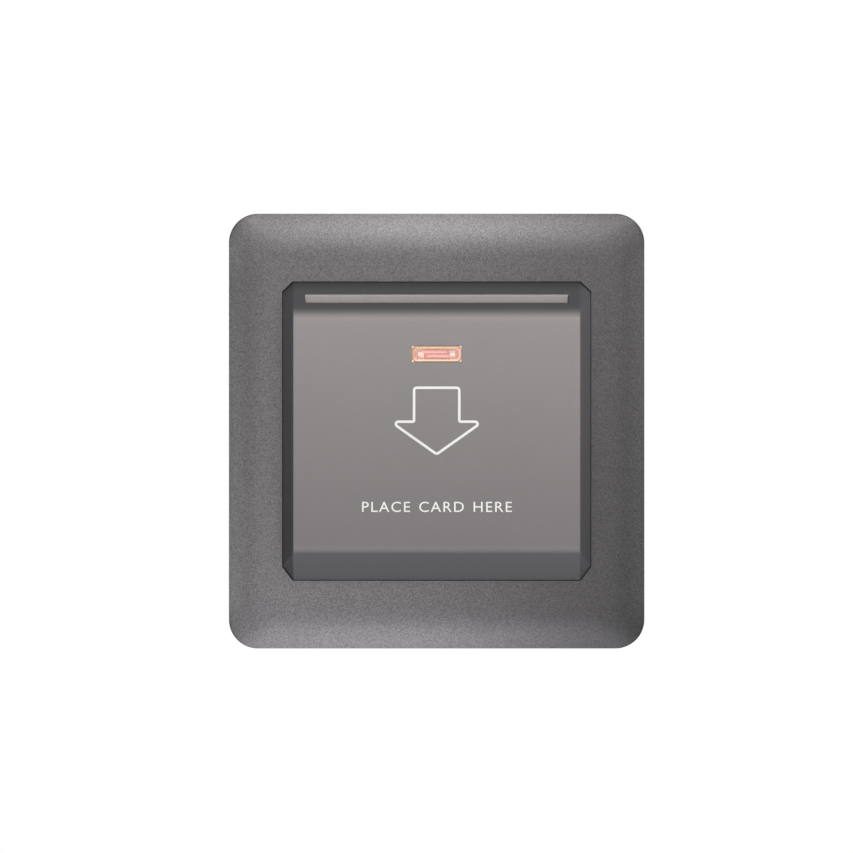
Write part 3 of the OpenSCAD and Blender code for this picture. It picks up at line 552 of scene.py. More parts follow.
# %% Rings round the plate
SIDE_POINTS = 10
CORNER_POINTS = 14
POCKET_W = 31.83
POCKET_H = 30.8
SIDE_RUN = 2.2
CUT_TOP = 2.1
CUT_FOOT = 2.9


def along(a, b, count):
    return [tuple(p + (q - p) * k / count for p, q in zip(a, b)) for k in range(count)]


def round_ring(width, height, radius, y):
    signs = [(1, 1), (-1, 1), (-1, -1), (1, -1)]

    def on_corner(corner, degrees):
        sx, sz = signs[corner % 4]
        a = math.radians(degrees)
        x = sx * (width / 2 - radius) + radius * math.cos(a)
        return (x, y, sz * (height / 2 - radius) + radius * math.sin(a))

    ring = []
    for corner in range(4):
        ring += [on_corner(corner, 90 * corner + 90 * k / CORNER_POINTS) for k in range(CORNER_POINTS)]
        last = 90 * corner + 90
        ring += along(on_corner(corner, last), on_corner(corner + 1, last), SIDE_POINTS)
    return ring


def cut_ring(grow, y):
    w = POCKET_W + grow
    h = POCKET_H + grow
    c = SIDE_RUN
    outline = [
        (w, h - CUT_TOP), (w - c, h), (c - w, h), (-w, h - CUT_TOP),
        (-w, CUT_FOOT - h), (c - w, -h), (w - c, -h), (w, CUT_FOOT - h),
    ]
    points = [(x, y, z) for x, z in outline]
    ring = []
    for k in range(4):
        ring += along(points[2 * k], points[2 * k + 1], CORNER_POINTS)
        ring += along(points[2 * k + 1], points[(2 * k + 2) % 8], SIDE_POINTS)
    return ring


print("points in a ring:", len(round_ring(PLATE_W, PLATE_H, 6, 0)), len(cut_ring(0, 0)))

# %% The lofted shell
RIM = 7.4
RISE = 1.6
BAND = 9.0
WALL = 2.2
CORNER = 6
COLLAR = [(0.15, -9), (0.15, -2.75), (1.8, -2.75), (1.8, -6.8)]


def band_ring(inset, s):
    width = PLATE_W - 2 * inset - 2 * BAND * s
    height = PLATE_H - 2 * inset - 2 * BAND * s
    radius = max(CORNER - inset - 3 * s, 0.6)
    return round_ring(width, height, radius, -(RIM - inset + RISE * s * (2 - s)))


def add_point(form, x, y, z):
    return form.verts.new((x * MM, y * MM, z * MM))


def add_face(form, *points):
    form.faces.new(list(dict.fromkeys(points)))


def join_rings(form, near, far):
    for k in range(len(near)):
        n = (k + 1) % len(near)
        add_face(form, near[k], near[n], far[n], far[k])


rings = [round_ring(PLATE_W, PLATE_H, CORNER, 0)]
rings += [band_ring(0, k / 18) for k in range(19)]
rings += [cut_ring(grow, y) for grow, y in COLLAR]
rings += [band_ring(WALL, k / 12) for k in range(12, -1, -1)]
rings += [round_ring(PLATE_W - 2 * WALL, PLATE_H - 2 * WALL, CORNER - WALL, 0)]
shell = bmesh.new()
rings = [[add_point(shell, *point) for point in ring] for ring in rings]
for near, far in zip(rings, rings[1:] + rings[:1]):
    join_rings(shell, near, far)
plate = add_closed("frame_plate", shell)
print("rings in the shell:", len(rings))

# %% [markdown]
# ### Notches and hooks
# The wall-box screws need room beside the pocket, so two notches are cut from the back with a boolean.
# Four hooks hold the plate on the yoke. Each is an outline pulled out into a prism and added to the mesh.

# %% Notches and hooks
NOTCH_X = 30.15
NOTCH = 4.6
HOOK_Z = 22
HOOK_HALF = 3


def add_prism(form, outline, low, high, axis):
    def place(a, b, level):
        return add_point(form, *{"X": (level, a, b), "Y": (a, level, b), "Z": (a, b, level)}[axis])

    known = len(form.faces)
    near = [place(a, b, low) for a, b in outline]
    far = [place(a, b, high) for a, b in outline]
    form.faces.new(near)
    form.faces.new(far)
    join_rings(form, near, far)
    bmesh.ops.recalc_face_normals(form, faces=list(form.faces)[known:])


def put_back(form, piece):
    form.to_mesh(piece.data)
    form.free()


def oblong(x0, x1, y0, y1):
    return [(x0, y0), (x1, y0), (x1, y1), (x0, y1)]


def prisms(name, outlines, low, high, axis):
    form = bmesh.new()
    for outline in outlines:
        add_prism(form, outline, low, high, axis)
    return add_form(name, form)


def box_cutter(low, high):
    return prisms("cutter", [oblong(low[0], high[0], low[1], high[1])], low[2], high[2], "Z")


def cut_away(piece, cutters):
    for cutter in cutters:
        step = piece.modifiers.new("cut", "BOOLEAN")
        set_all(step, operation="DIFFERENCE", solver="EXACT", object=cutter)
    settle(piece)
    for cutter in cutters:
        bpy.data.objects.remove(cutter)


def cut_notches(piece):
    sides = (-NOTCH_X, NOTCH_X)
    cut_away(piece, [box_cutter((x - NOTCH, -5, -NOTCH), (x + NOTCH, 0.5, NOTCH)) for x in sides])


cut_notches(plate)
hook = [(35.33, -7), (35.33, 0.05), (34.53, 0.05), (34.53, 0.7), (35.33, 1.8), (36.83, 1.8), (36.83, -7)]
form = form_of(plate.data)
for side in (-1, 1):
    for z in (-HOOK_Z, HOOK_Z):
        add_prism(form, [(side * x, y) for x, y in hook], z - HOOK_HALF, z + HOOK_HALF, "Z")
put_back(form, plate)
wear(round_edges(plate, 0.22, 30, 3), "plate_paint", "plate_paint", "bezel_frame")

# %% [markdown]
# ## Pocket cover
# The cover's face bulges very slightly and rolls over into the sloping top and foot. Its outside and
# inside are two grids with the same rows and columns: the rows follow the profile from foot to top,
# and rows and columns fall exactly on the edges of the card slot and the lamp window. Leaving those
# cells out, and joining the two grids round the holes, cuts both openings with no boolean. The back
# wall of the slot gets a paler paint: painted light that makes up for the shade the narrow slot casts.

# %% Profile of the cover
FACE_Y = -9.0
CREST_Y = -19.0
CROWN = 0.8
FACE_HALF = 24.8
FACE_STEPS = 24
FOOT_ROLL = (-23.441, 2.4)
TOP_ROLL = (22.535, 4.0)
ROLL_STEPS = 8
SLOT_Y = (-15.2, -12.8)
SLOT_X = 27.2
WINDOW_X = 5.1
WINDOW_Z = (14.25, 17.55)


def crown_y(z):
    return CREST_Y + CROWN * (z / FACE_HALF) ** 2


def roll_centre(z, radius):
    lean = math.atan(2 * CROWN * z / FACE_HALF ** 2)
    return crown_y(z) + radius * math.cos(lean), z - radius * math.sin(lean), lean


def touch_angle(cy, cz, radius, far, side):
    dy = far[0] - cy
    dz = far[1] - cz
    return math.atan2(dz, dy) + side * math.acos(radius / math.hypot(dy, dz))


def roll(cy, cz, radius, first, last):
    angles = [first + (last - first) * k / ROLL_STEPS for k in range(ROLL_STEPS + 1)]
    return [(cy + radius * math.cos(a), cz + radius * math.sin(a)) for a in angles]


def cover_rows(inset):
    foot = (FACE_Y, -(POCKET_H - inset))
    top = (FACE_Y, POCKET_H - inset)
    low, high = FOOT_ROLL[0], TOP_ROLL[0]
    cy, cz, lean = roll_centre(*FOOT_ROLL)
    radius = FOOT_ROLL[1] - inset
    first = touch_angle(cy, cz, radius, foot, -1)
    while first > 0:
        first -= 2 * math.pi
    lower = roll(cy, cz, radius, first, -math.pi - lean)
    rows = [foot, tuple((a + b) / 2 for a, b in zip(foot, lower[0]))] + lower
    zs = [low + (high - low) * k / FACE_STEPS for k in range(1, FACE_STEPS)]
    zs = [z for z in zs if all(abs(z - w) > 0.8 for w in WINDOW_Z)] + list(WINDOW_Z)
    rows += [(crown_y(z) + inset, z) for z in sorted(zs)]
    cy, cz, lean = roll_centre(*TOP_ROLL)
    radius = TOP_ROLL[1] - inset
    rows += roll(cy, cz, radius, math.pi - lean, touch_angle(cy, cz, radius, top, 1))
    y0, z0 = rows[-1]
    rows += [(y, z0 + (top[1] - z0) * (y - y0) / (top[0] - y0)) for y in SLOT_Y]
    return rows + [top]


outer_rows = cover_rows(0.0)
inner_rows = cover_rows(2.0)
print("rows:", len(outer_rows), len(inner_rows))
print("crest:", [round(c, 3) for c in min(outer_rows)])

# %% The two grids and the walls between them
BRIM = 1.8
BRIM_Y = (-2.7, -1.2)
FOOT_ROWS = 10
TOP_ROWS = 12
END_X = 29
END_Z = (-27, 28)
outer_columns = [-29.63, -SLOT_X, -20, -12, -WINDOW_X, 0, WINDOW_X, 12, 20, SLOT_X, 29.63]
inner_columns = [-28.0, -SLOT_X, -20, -12, -6.2, 0, 6.2, 12, 20, SLOT_X, 28.0]


def cover_grid(form, rows, columns, side_x, side_low, side_high):
    grid = [[add_point(form, x, y, z) for y, z in rows] for x in columns]
    foot = rows[FOOT_ROWS][1]
    head = rows[-TOP_ROWS][1]
    posts = []
    for sign, column in ((-1, grid[0]), (1, grid[-1])):
        side = []
        for j, (_, z) in enumerate(rows):
            if 0 < j <= FOOT_ROWS or j > len(rows) - TOP_ROWS:
                side.append(side[-1])
                continue
            share = min(max((z - foot) / (head - foot), 0), 1)
            side.append(add_point(form, sign * side_x, FACE_Y, side_low + (side_high - side_low) * share))
        for j in range(len(rows) - 1):
            add_face(form, column[j], column[j + 1], side[j + 1], side[j])
        posts.append(list(dict.fromkeys(side)))
    base = [column[0] for column in grid] + posts[1]
    base += [column[-1] for column in reversed(grid)] + posts[0][::-1]
    return grid, base


def is_open(i, j):
    x_mid = abs(outer_columns[i] + outer_columns[i + 1]) / 2
    z_mid = (outer_rows[j][1] + outer_rows[j + 1][1]) / 2
    in_window = x_mid < WINDOW_X and WINDOW_Z[0] < z_mid < WINDOW_Z[1]
    in_slot = j == len(outer_rows) - 3 and x_mid < SLOT_X
    return in_window or in_slot


def moved_ring(form, ring, y, grow=0.0):
    copy = []
    for point in ring:
        x = point.co.x / MM
        z = point.co.z / MM
        on_end = abs(abs(z) - POCKET_H) < 0.01
        out_x = grow if not on_end or abs(x) > END_X else 0
        out_z = grow if on_end or z < END_Z[0] or z > END_Z[1] else 0
        copy.append(add_point(form, math.copysign(abs(x) + out_x, x), y, math.copysign(abs(z) + out_z, z)))
    return copy


form = bmesh.new()
outer, outer_base = cover_grid(form, outer_rows, outer_columns, POCKET_W, -27.9, 28.7)
inner, inner_base = cover_grid(form, inner_rows, inner_columns, 29.78, -26.0, 27.1)
for i in range(len(outer_columns) - 1):
    for j in range(len(outer_rows) - 1):
        cell = [(i, j), (i + 1, j), (i + 1, j + 1), (i, j + 1)]
        if not is_open(i, j):
            add_face(form, *[outer[a][b] for a, b in cell])
            add_face(form, *[inner[a][b] for a, b in reversed(cell)])
            continue
        for k, (di, dj) in enumerate(((0, -1), (1, 0), (0, 1), (-1, 0))):
            if not is_open(i + di, j + dj):
                (a, b), (c, d) = cell[k], cell[(k + 1) % 4]
                add_face(form, outer[a][b], outer[c][d], inner[c][d], inner[a][b])
skirt = [outer_base, moved_ring(form, outer_base, BRIM_Y[0]), moved_ring(form, outer_base, BRIM_Y[0], BRIM)]
skirt += [moved_ring(form, outer_base, BRIM_Y[1], BRIM), moved_ring(form, inner_base, BRIM_Y[1]), inner_base]
for near, far in zip(skirt, skirt[1:]):
    join_rings(form, near, far)
print("open edges in the cover:", sum(1 for e in form.edges if not e.is_manifold))

# %% Notches, ribs and rounded edges
RIB_STEP = 12
RIB_HALF = 0.6
cover = add_closed("pocket_shell", form)
cut_notches(cover)
rib = [(-18, -22.03), (-14.7, -22.03), (-14.7, 18.8), (-17.2, 21.8)]
form = form_of(cover.data)
for k in (-2, -1, 1, 2):
    add_prism(form, rib, RIB_STEP * k - RIB_HALF, RIB_STEP * k + RIB_HALF, "X")
put_back(form, cover)
wear(round_edges(cover, 0.16, 26, 3), "pocket_paint", "pocket_paint", "pocket_cover")
# The back wall of the slot gets the paler paint: painted light.
cover.data.materials.append(finishes["rubbed_paint"])
for face in cover.data.polygons:
    middle = face.center / MM
    if middle.z > 25 and abs(middle.y - SLOT_Y[1]) < 0.1 and abs(face.normal.y) > 0.9:
        face.material_index = 1
print("faces with painted light:", sum(face.material_index for face in cover.data.polygons))

# %% [markdown]
# ## Print on the cover
# A white outlined arrow shows which way the card goes in, and a line of words stands below it. Ink is
# a thin layer, so both are thin raised meshes that follow the bulge of the face. The arrow is a ribbon
# along a path with rounded corners. The words, plain ones of our own, start as a text object.

# %% Arrow
INK_HEIGHT = 0.02
INK_DEPTH = 0.03
STROKE = 0.52
TURN_STEPS = 6


def rounded_path(corners, radii):
    path = []
    for k, point in enumerate(corners):
        here = Vector(point)
        back = (Vector(corners[k - 1]) - here).normalized()
        ahead = (Vector(corners[(k + 1) % len(corners)]) - here).normalized()
        half = back.angle(ahead) / 2
        run = radii[k] / math.tan(half)
        centre = here + (back + ahead).normalized() * (radii[k] / math.sin(half))
        first = here + back * run - centre
        last = here + ahead * run - centre
        for s in range(TURN_STEPS + 1):
            path.append(centre + first.slerp(last, s / TURN_STEPS).normalized() * radii[k])
    return path


def ink_mesh(name, flat_points, faces):
    form = bmesh.new()
    low = [add_point(form, x, crown_y(z) + INK_DEPTH, z) for x, z in flat_points]
    top = [add_point(form, x, crown_y(z) - INK_HEIGHT, z) for x, z in flat_points]
    for face in faces:
        form.faces.new([top[k] for k in face])
        form.faces.new([low[k] for k in reversed(face)])
    edges = dict.fromkeys(pair for face in faces for pair in zip(face, face[1:] + face[:1]))
    for a, b in edges:
        if (b, a) not in edges:
            form.faces.new((top[b], top[a], low[a], low[b]))
    return add_closed(name, form)


arrow_corners = [
    (-4.66, 8.94), (4.66, 8.94), (4.66, 1.95), (9.5, 1.95), (0, -4.76), (-9.5, 1.95), (-4.66, 1.95)
]
arrow_path = rounded_path(arrow_corners, [0.55, 0.55, 0.3, 0.5, 0.6, 0.5, 0.3])
ribbon = []
for k, point in enumerate(arrow_path):
    ahead = (arrow_path[(k + 1) % len(arrow_path)] - arrow_path[k - 1]).normalized()
    across = Vector((-ahead.y, ahead.x)) * STROKE / 2
    ribbon += [tuple(point + across), tuple(point - across)]
total = len(ribbon)
strips = [[2 * k, (2 * k + 2) % total, (2 * k + 3) % total, 2 * k + 1] for k in range(total // 2)]
wear(ink_mesh("printed_arrow", ribbon, strips), "print_ink", "white_plastic")

# %% Words
LEGEND_WIDTH = 30.9
LEGEND_Z = -15.75
words = bpy.data.curves.new("printed_words", "FONT")
set_all(words, body="PLACE CARD HERE", align_x="CENTER", align_y="CENTER", size=3.05)
set_all(words, space_character=1.16, space_word=1.25, resolution_u=4)
words_object = add_object("printed_words", words)
letters = form_of(solved_mesh(words_object))
bpy.data.objects.remove(words_object)
bmesh.ops.remove_doubles(letters, verts=letters.verts, dist=0.0005)
letters.verts.index_update()
span = max(v.co.x for v in letters.verts) - min(v.co.x for v in letters.verts)
letter_points = [(v.co.x * LEGEND_WIDTH / span, v.co.y + LEGEND_Z) for v in letters.verts]
letter_faces = [[v.index for v in face.verts] for face in letters.faces]
letters.free()
wear(ink_mesh("printed_legend", letter_points, letter_faces), "print_ink", "white_plastic")
heights = [z for _, z in letter_points]
print("legend:", round(span, 2), "mm wide before fitting,", round(max(heights) - min(heights), 2), "mm high")

# %% [markdown]
# ## Lens
# The lens is a small clear block with cut corners that stands a hair proud of the face. Its bevels
# carry a painted glow, cream above and below and salmon at the ends, for the light that travels inside
# it and leaves there. A thin dark amber strip in the gap round it is painted shade, for the shadow in
# that gap. Its cut corners show the pale rim it is seated in as four tiny dots, so a little pale pad
# with a faint painted glow fills each corner.

# %% Lens
lens = dress("indicator_lens", "lens_tint", "lens_plastic", 0.05)
# Painted glow on the bevels: cream above and below, salmon at the ends.
for name in ("lens_cream", "lens_salmon"):
    lens.data.materials.append(finishes[name])
front = min(v.co.y for v in lens.data.vertices)
for face in lens.data.polygons:
    if face.center.y < front + 0.4 * MM and -0.9 < face.normal.y < -0.2:
        face.material_index = 1 if abs(face.normal.z) > abs(face.normal.x) else 2
print("lens front:", round(front / MM, 2), "mm")

# %% Painted shade round the lens and corner pads
LENS_Z = 15.9
PAD = 0.46
PAD_BACK = -17.6


def face_outward(piece):
    form = form_of(piece.data)
    bmesh.ops.remove_doubles(form, verts=form.verts, dist=0.0005 * MM)
    bmesh.ops.recalc_face_normals(form, faces=form.faces)
    put_back(form, piece)
    return piece


def lens_ring(half_w, half_h, cut):
    corner = [(half_w, half_h - cut), (half_w - cut, half_h)]
    half = corner + [(-x, z) for x, z in reversed(corner)]
    return [(x, LENS_Z + z) for x, z in half + [(-x, -z) for x, z in half]]


outside = lens_ring(5.09, 1.64, PAD)
inside = lens_ring(4.96, 1.51, 0.5)
sides = [[outside[k], outside[(k + 1) % 8], inside[(k + 1) % 8], inside[k]] for k in range(8)]
# A dark amber strip in the gap as painted shade, with a faint painted glow.
gap_shade = prisms("lens_gasket", sides, -18.45, PAD_BACK, "Y")
wear(face_outward(gap_shade), "gasket_amber", "lens_plastic")
# Pale pads with a faint painted glow in the lens's cut corners.
corners = [(sx, sz, sx * 5.08, LENS_Z + sz * 1.63) for sx in (-1, 1) for sz in (-1, 1)]
pads = [[(x, z), (x - sx * PAD, z), (x, z - sz * PAD)] for sx, sz, x, z in corners]
wear(prisms("lens_corner_pads", pads, -18.5, PAD_BACK, "Y"), "pad_white", "lens_plastic")

# %% [markdown]
# ## Wires and springs
# The two springs and the three insulated leads are all one thing: a round wire along a path. So one
# Geometry Nodes tree sweeps them all. It turns a line of points into a smooth curve, spaces its points
# evenly, and runs a circle along it. Each path is only a list of points, in millimetres.

# %% A tree that sweeps a wire
GEOMETRY = "NodeSocketGeometry"
COUNT = "NodeSocketInt"
MATERIAL = "NodeSocketMaterial"


def shape_tree(name, **inputs):
    ins = dict(Geometry=GEOMETRY, Finish=MATERIAL, **inputs)
    return new_group(name, ins, dict(Geometry=GEOMETRY), "GeometryNodeTree")


def end_tree(tree, shape, finish):
    whole = add_step(tree, "GeometryNodeRealizeInstances", {"Geometry": shape})[0]
    painted = add_step(tree, "GeometryNodeSetMaterial", {"Geometry": whole, "Material": finish})[0]
    add_step(tree, "NodeGroupOutput", {"Geometry": painted})


tree, given = shape_tree("sweep_wire", Radius=NUMBER, Sides=COUNT, Spacing=NUMBER)
path = add_step(tree, "GeometryNodeMeshToCurve", {"Mesh": given["Geometry"]})[0]
path = add_step(tree, "GeometryNodeCurveSplineType", {"Curve": path}, spline_type="CATMULL_ROM")[0]
evenly = {"Curve": path, "Length": given["Spacing"]}
path = add_step(tree, "GeometryNodeResampleCurve", evenly, mode="LENGTH")[0]
circle = {"Resolution": given["Sides"], "Radius": given["Radius"]}
circle = add_step(tree, "GeometryNodeCurvePrimitiveCircle", circle)["Curve"]
swept = {"Curve": path, "Profile Curve": circle, "Fill Caps": True}
tube = add_step(tree, "GeometryNodeCurveToMesh", swept)[0]
tube = add_step(tree, "GeometryNodeSetShadeSmooth", {"Geometry": tube})[0]
end_tree(tree, tube, given["Finish"])


def grow(name, points, edges, group, finish, **values):
    mesh = bpy.data.meshes.new(name)
    mesh.from_pydata([tuple(c * MM for c in p) for p in points], edges, [])
    piece = add_object(name, mesh)
    step = piece.modifiers.new("build", "NODES")
    step.node_group = bpy.data.node_groups[group]
    values["Finish"] = finishes[finish]
    for socket in step.node_group.interface.items_tree:
        if socket.name in values:
            step[socket.identifier] = values[socket.name]
    return face_outward(settle(piece))


def swept_wire(name, points, radius, spacing, finish):
    edges = [(k, k + 1) for k in range(len(points) - 1)]
    sizes = dict(Radius=radius * MM, Sides=12, Spacing=spacing * MM)
    return grow(name, points, edges, "sweep_wire", finish, **sizes)


print("steps in the wire's tree:", len(tree.nodes))

# %% [markdown]
# ### Springs
# The lever's spring is wound on its pin: one end hooks behind the lever, the other rests on the guide.
# It is attached to no body, and its mesh is set where it stands. The blade's spring is a small coil
# pressed between the blade and the back of the case, and rides on the switch body.

# %% Springs
PIVOT_Y = -6.2
PIVOT_Z = 5.0
WIND_STEP = 15
WIND_RADIUS = 1.9
WIND_PITCH = 1.024
COIL_RADIUS = 1.4
COIL_LENGTH = 5.31
COIL_POINTS = 108
coil = [(1.35, 1.0, -4.3), (2.71, 1.0, -4.3), (3.87, 1.06, -4.09), (4.55, 1.41, -3.18), (4.75, 1.9, -1.5)]
for k in range(76):
    a = math.radians(WIND_STEP * k)
    x = 4.75 + WIND_PITCH * WIND_STEP * k / 360
    coil.append((x, WIND_RADIUS * math.cos(a), WIND_RADIUS * math.sin(a)))
coil += [(8.15, 0.19, 2.58), (8.25, -1.89, 5.02), (8.25, -4.1, 7.6)]
coil = [(x, PIVOT_Y + y, PIVOT_Z + z) for x, y, z in coil]
lever_spring = swept_wire("wound_lever_spring", coil, 0.25, 0.22, "spring_steel")
wear(lever_spring, "spring_steel", "steel", "lever_spring", body=None)
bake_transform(lever_spring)
coil = []
for k in range(COIL_POINTS + 1):
    a = math.radians(WIND_STEP * k)
    y = 8.5 + COIL_LENGTH * k / COIL_POINTS
    coil.append((3 + COIL_RADIUS * math.cos(a), y, -3 + COIL_RADIUS * math.sin(a)))
blade_spring = swept_wire("wound_blade_spring", coil, 0.2, 0.18, "spring_steel")
wear(blade_spring, "spring_steel", "steel", "blade_spring")
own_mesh(blade_spring)

# %% [markdown]
# ### Leads
# The lamp's two leads run down behind the cover, through the back, to a terminal and to the resistor,
# and a short tail joins the resistor to the other terminal. All are held at both ends.

# %% Leads
LEAD_RADIUS = 0.45
LEAD_SPACING = 0.35
LEAD_X = 7.5
round_foot = [
    (-15.9, -18), (-15.7, -21), (-15.5, -23.2), (-14.6, -24.05), (-13.2, -24.8), (-11.2, -25.2),
    (-9.4, -24.4), (-7, -22), (-4, -18.8),
]
down = [(6.25, -16.15, 15.9), (6.9, -16.15, 15.9), (7.4, -16.1, 15.1)]
down += [(LEAD_X, -16, z) for z in (14, 11, 4, -4, -12)]
down += [(LEAD_X, y, z) for y, z in round_foot]
mirrored = [(-x, y, z) for x, y, z in down]
supply_end = [
    (LEAD_X, -0.6, -17), (LEAD_X, 2.4, -17.2), (7.2, 4.2, -18.4), (6.4, 5, -19.6),
    (5.4, 5, -20), (4.5, 5, -20),
]
neutral_end = [
    (-7.4, -0.6, -16.2), (-6.6, 3, -14.6), (-4.6, 6.5, -13), (-2, 9.4, -12), (-0.4, 11.2, -11.7),
    (0, 12.3, -11.6), (0, 13.2, -11.6),
]
tail = [
    (-4.5, 5, -20), (-5.4, 5, -20), (-6.6, 5.4, -19.4), (-7.4, 6.6, -17.8), (-7.6, 8.2, -15.8),
    (-7, 9.8, -13.8), (-6.3, 11.2, -12.8), (-6, 12.3, -12.6), (-6, 13.2, -12.6),
]
for name, points, finish, slot, node in (
    ("insulated_supply_lead", down + supply_end, "wire_red", "red_insulation", "lamp_lead_supply"),
    ("insulated_neutral_lead", mirrored + neutral_end, "wire_blue", "blue_insulation", "lamp_lead_neutral"),
    ("insulated_resistor_tail", tail, "wire_red", "red_insulation", "resistor_tail"),
):
    wear(swept_wire(name, points, LEAD_RADIUS, LEAD_SPACING, finish), finish, slot, node)

# %% [markdown]
# ## Screws
# Four screws hold the housing and three clamp the wires. One screw of each kind is turned like a piece
# on a lathe and gets a cross cut in its head. A second tree then sets it on every point of a list,
# each turned by its own random amount, because no fitter leaves all the crosses in line.

# %% Lathe and cross recess
RIDGE_STEP = 0.55
CROSS_HALF = 0.36


def lathe(name, profile, turns=28):
    form = bmesh.new()
    angles = [2 * math.pi * k / turns for k in range(turns)]
    rings = []
    for r, level in profile:
        if r == 0:
            rings.append([add_point(form, 0, level, 0)] * turns)
        else:
            rings.append([add_point(form, r * math.cos(a), level, r * math.sin(a)) for a in angles])
    for near, far in zip(rings, rings[1:]):
        join_rings(form, near, far)
    return add_closed(name, form)


def screw(name, tip, seat, top, shank, head, arm):
    profile = [(0, tip), (shank * 0.55, tip + 0.05)]
    level = tip + 0.5
    while level < seat - 0.6:
        profile += [(shank * 0.84, level), (shank * 0.99, level + 0.2), (shank * 0.99, level + 0.25)]
        level += RIDGE_STEP
    profile += [(shank * 0.9, seat), (head * 0.96, seat), (head * 0.985, seat + 0.15)]
    profile += [(head * 0.985, top - 0.45), (head * 0.9, top - 0.16), (head * 0.74, top - 0.02), (0, top)]
    piece = lathe(name, profile)
    arms = ((arm, CROSS_HALF), (CROSS_HALF, arm))
    cut_away(piece, [box_cutter((-x, top - 1.0, -z), (x, top + 0.3, z)) for x, z in arms])
    return round_edges(piece, 0.05, 40)


low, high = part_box("housing_screws")
housing_screw = screw("housing_screw", low[1] / MM, 16.3, high[1] / MM, 1.45, 2.8, 1.7)
low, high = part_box("terminal_screws")
clamp_screw = screw("clamp_screw", low[1] / MM, high[1] / MM - 1.9, high[1] / MM, 1.75, 2.7, 1.9)
print("faces on a screw:", len(housing_screw.data.polygons), len(clamp_screw.data.polygons))

# %% Setting the screws
tree, given = shape_tree("set_screws", Screw="NodeSocketObject", Seed=COUNT)
spots = add_step(tree, "GeometryNodeMeshToPoints", {"Mesh": given["Geometry"]})[0]
pattern = add_step(tree, "GeometryNodeObjectInfo", {"Object": given["Screw"]})["Geometry"]
draw = {"Min": 0.0, "Max": math.pi, "Seed": given["Seed"]}
chance = add_step(tree, "FunctionNodeRandomValue", draw, data_type="FLOAT")["Value"]
turn = add_step(tree, "ShaderNodeCombineXYZ", {"Y": chance})[0]
setting = {"Points": spots, "Instance": pattern, "Rotation": turn}
placed = add_step(tree, "GeometryNodeInstanceOnPoints", setting)[0]
end_tree(tree, placed, given["Finish"])


def set_screws(name, pattern, points, seed, node):
    piece = grow(name, points, [], "set_screws", "zinc_plate", Screw=pattern, Seed=seed)
    bpy.data.objects.remove(pattern)
    wear(piece, "zinc_plate", "steel", node)


points = [(x, 0, z) for x in (-20, 20) for z in (-23.5, 8)]
set_screws("set_housing_screws", housing_screw, points, 3, "housing_screws")
points = [(x, 0, -22.2) for x in (-12, 0, 12)]
set_screws("set_clamp_screws", clamp_screw, points, 8, "terminal_screws")

# %% [markdown]
# ## Resistor
# A small resistor limits the lamp's current. Real ones are dipped in lacquer that swells over the end
# caps, and carry painted rings, so it is turned with swollen ends and its rings are part of its finish.
# The rings are flat colour stops on a ramp that runs along X, laid over the lacquer's own tan.

# %% Resistor finish
RING_REACH = 4.0
RING_WIDTH = 0.07
NO_COLOUR = (0, 0, 0, 0)
tree, base, lacquer = base_colour("resistor_tan")
rings = tree.nodes.new("ShaderNodeValToRGB")
tree.links.new(add_ramp(tree, object_axes(tree)["X"], -RING_REACH, RING_REACH), rings.inputs["Fac"])
rings.color_ramp.interpolation = "CONSTANT"
stops = rings.color_ramp.elements
stops[0].color = NO_COLOUR
stops[1].color = NO_COLOUR
ring_colours = [seen(112, 66, 38), seen(34, 32, 32), seen(226, 120, 36), seen(196, 158, 72)]
for place, colour in zip((0.3, 0.42, 0.54, 0.68), ring_colours):
    stops.new(place).color = colour
    stops.new(place + RING_WIDTH).color = NO_COLOUR
tree.links.new(add_mix(tree, rings.outputs["Alpha"], lacquer, rings.outputs["Color"]), base)
print("rings on the resistor:", len(ring_colours))

# %% Resistor
low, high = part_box("lamp_resistor")
middle = [(a + b) / 2 / MM for a, b in zip(low, high)]
half = (high[0] - low[0]) / 2 / MM
thick = (high[2] - low[2]) / 2 / MM
swell = [(0, 0), (0.62, 0.05), (0.9, 0.35), (0.995, 0.9), (0.97, 1.5), (0.84, 2.1), (0.82, 2.5)]
profile = [(share * thick, inset - half) for share, inset in swell]
profile += [(r, -level) for r, level in reversed(profile)]
resistor = lathe("lacquered_resistor", profile, 36)
for point in resistor.data.vertices:
    x, y, z = point.co
    point.co = (y + middle[0] * MM, x + middle[1] * MM, z + middle[2] * MM)
wear(round_edges(face_outward(resistor), 0.05, 60), "resistor_tan", "resistor_coat", "lamp_resistor")
print("resistor:", round(2 * half, 2), "mm long,", round(2 * thick, 2), "mm thick")

# %% [markdown]
# ## Lamp
# Behind the lens lies a small neon lamp: a glass tube with a metal cap at each end and two electrodes
# inside. Its holder is white and its caps are metal, but both carry a painted glow that stands in for
# the lamp's light on them. These are the solids themselves with rounded edges: the lamp is so small
# that only its glow and its outlines are seen. A thin strip with the holder's painted glow fills the
# narrow gap between the lamp and its holder, which would otherwise show as a black line of shade.

# %% Lamp
# The holder's and the caps' glow is painted light from the lamp.
dress("lamp_holder", "lit_holder", "white_plastic", 0.03)
dress("lamp_tube", "lamp_glass", "lamp_glass", 0.05)
dress("lamp_caps", "lamp_cap", "bright_metal", 0.03)
dress("lamp_electrodes", "lamp_wire", "bright_metal", 0.04)

# %% Painted glow in the gap round the lamp
GLOW_STRIP_Y = (-16.4, -15.8)
GLOW_STRIP_X = (3.92, 4.04)
strips = []
for sz in (-1, 1):
    strips.append(oblong(-GLOW_STRIP_X[1], GLOW_STRIP_X[1], sz * 1.12, sz * 1.24))
    strips += [oblong(sx * GLOW_STRIP_X[0], sx * GLOW_STRIP_X[1], sz * 0.36, sz * 1.11) for sx in (-1, 1)]
strips = [[(x, LENS_Z + z) for x, z in strip] for strip in strips]
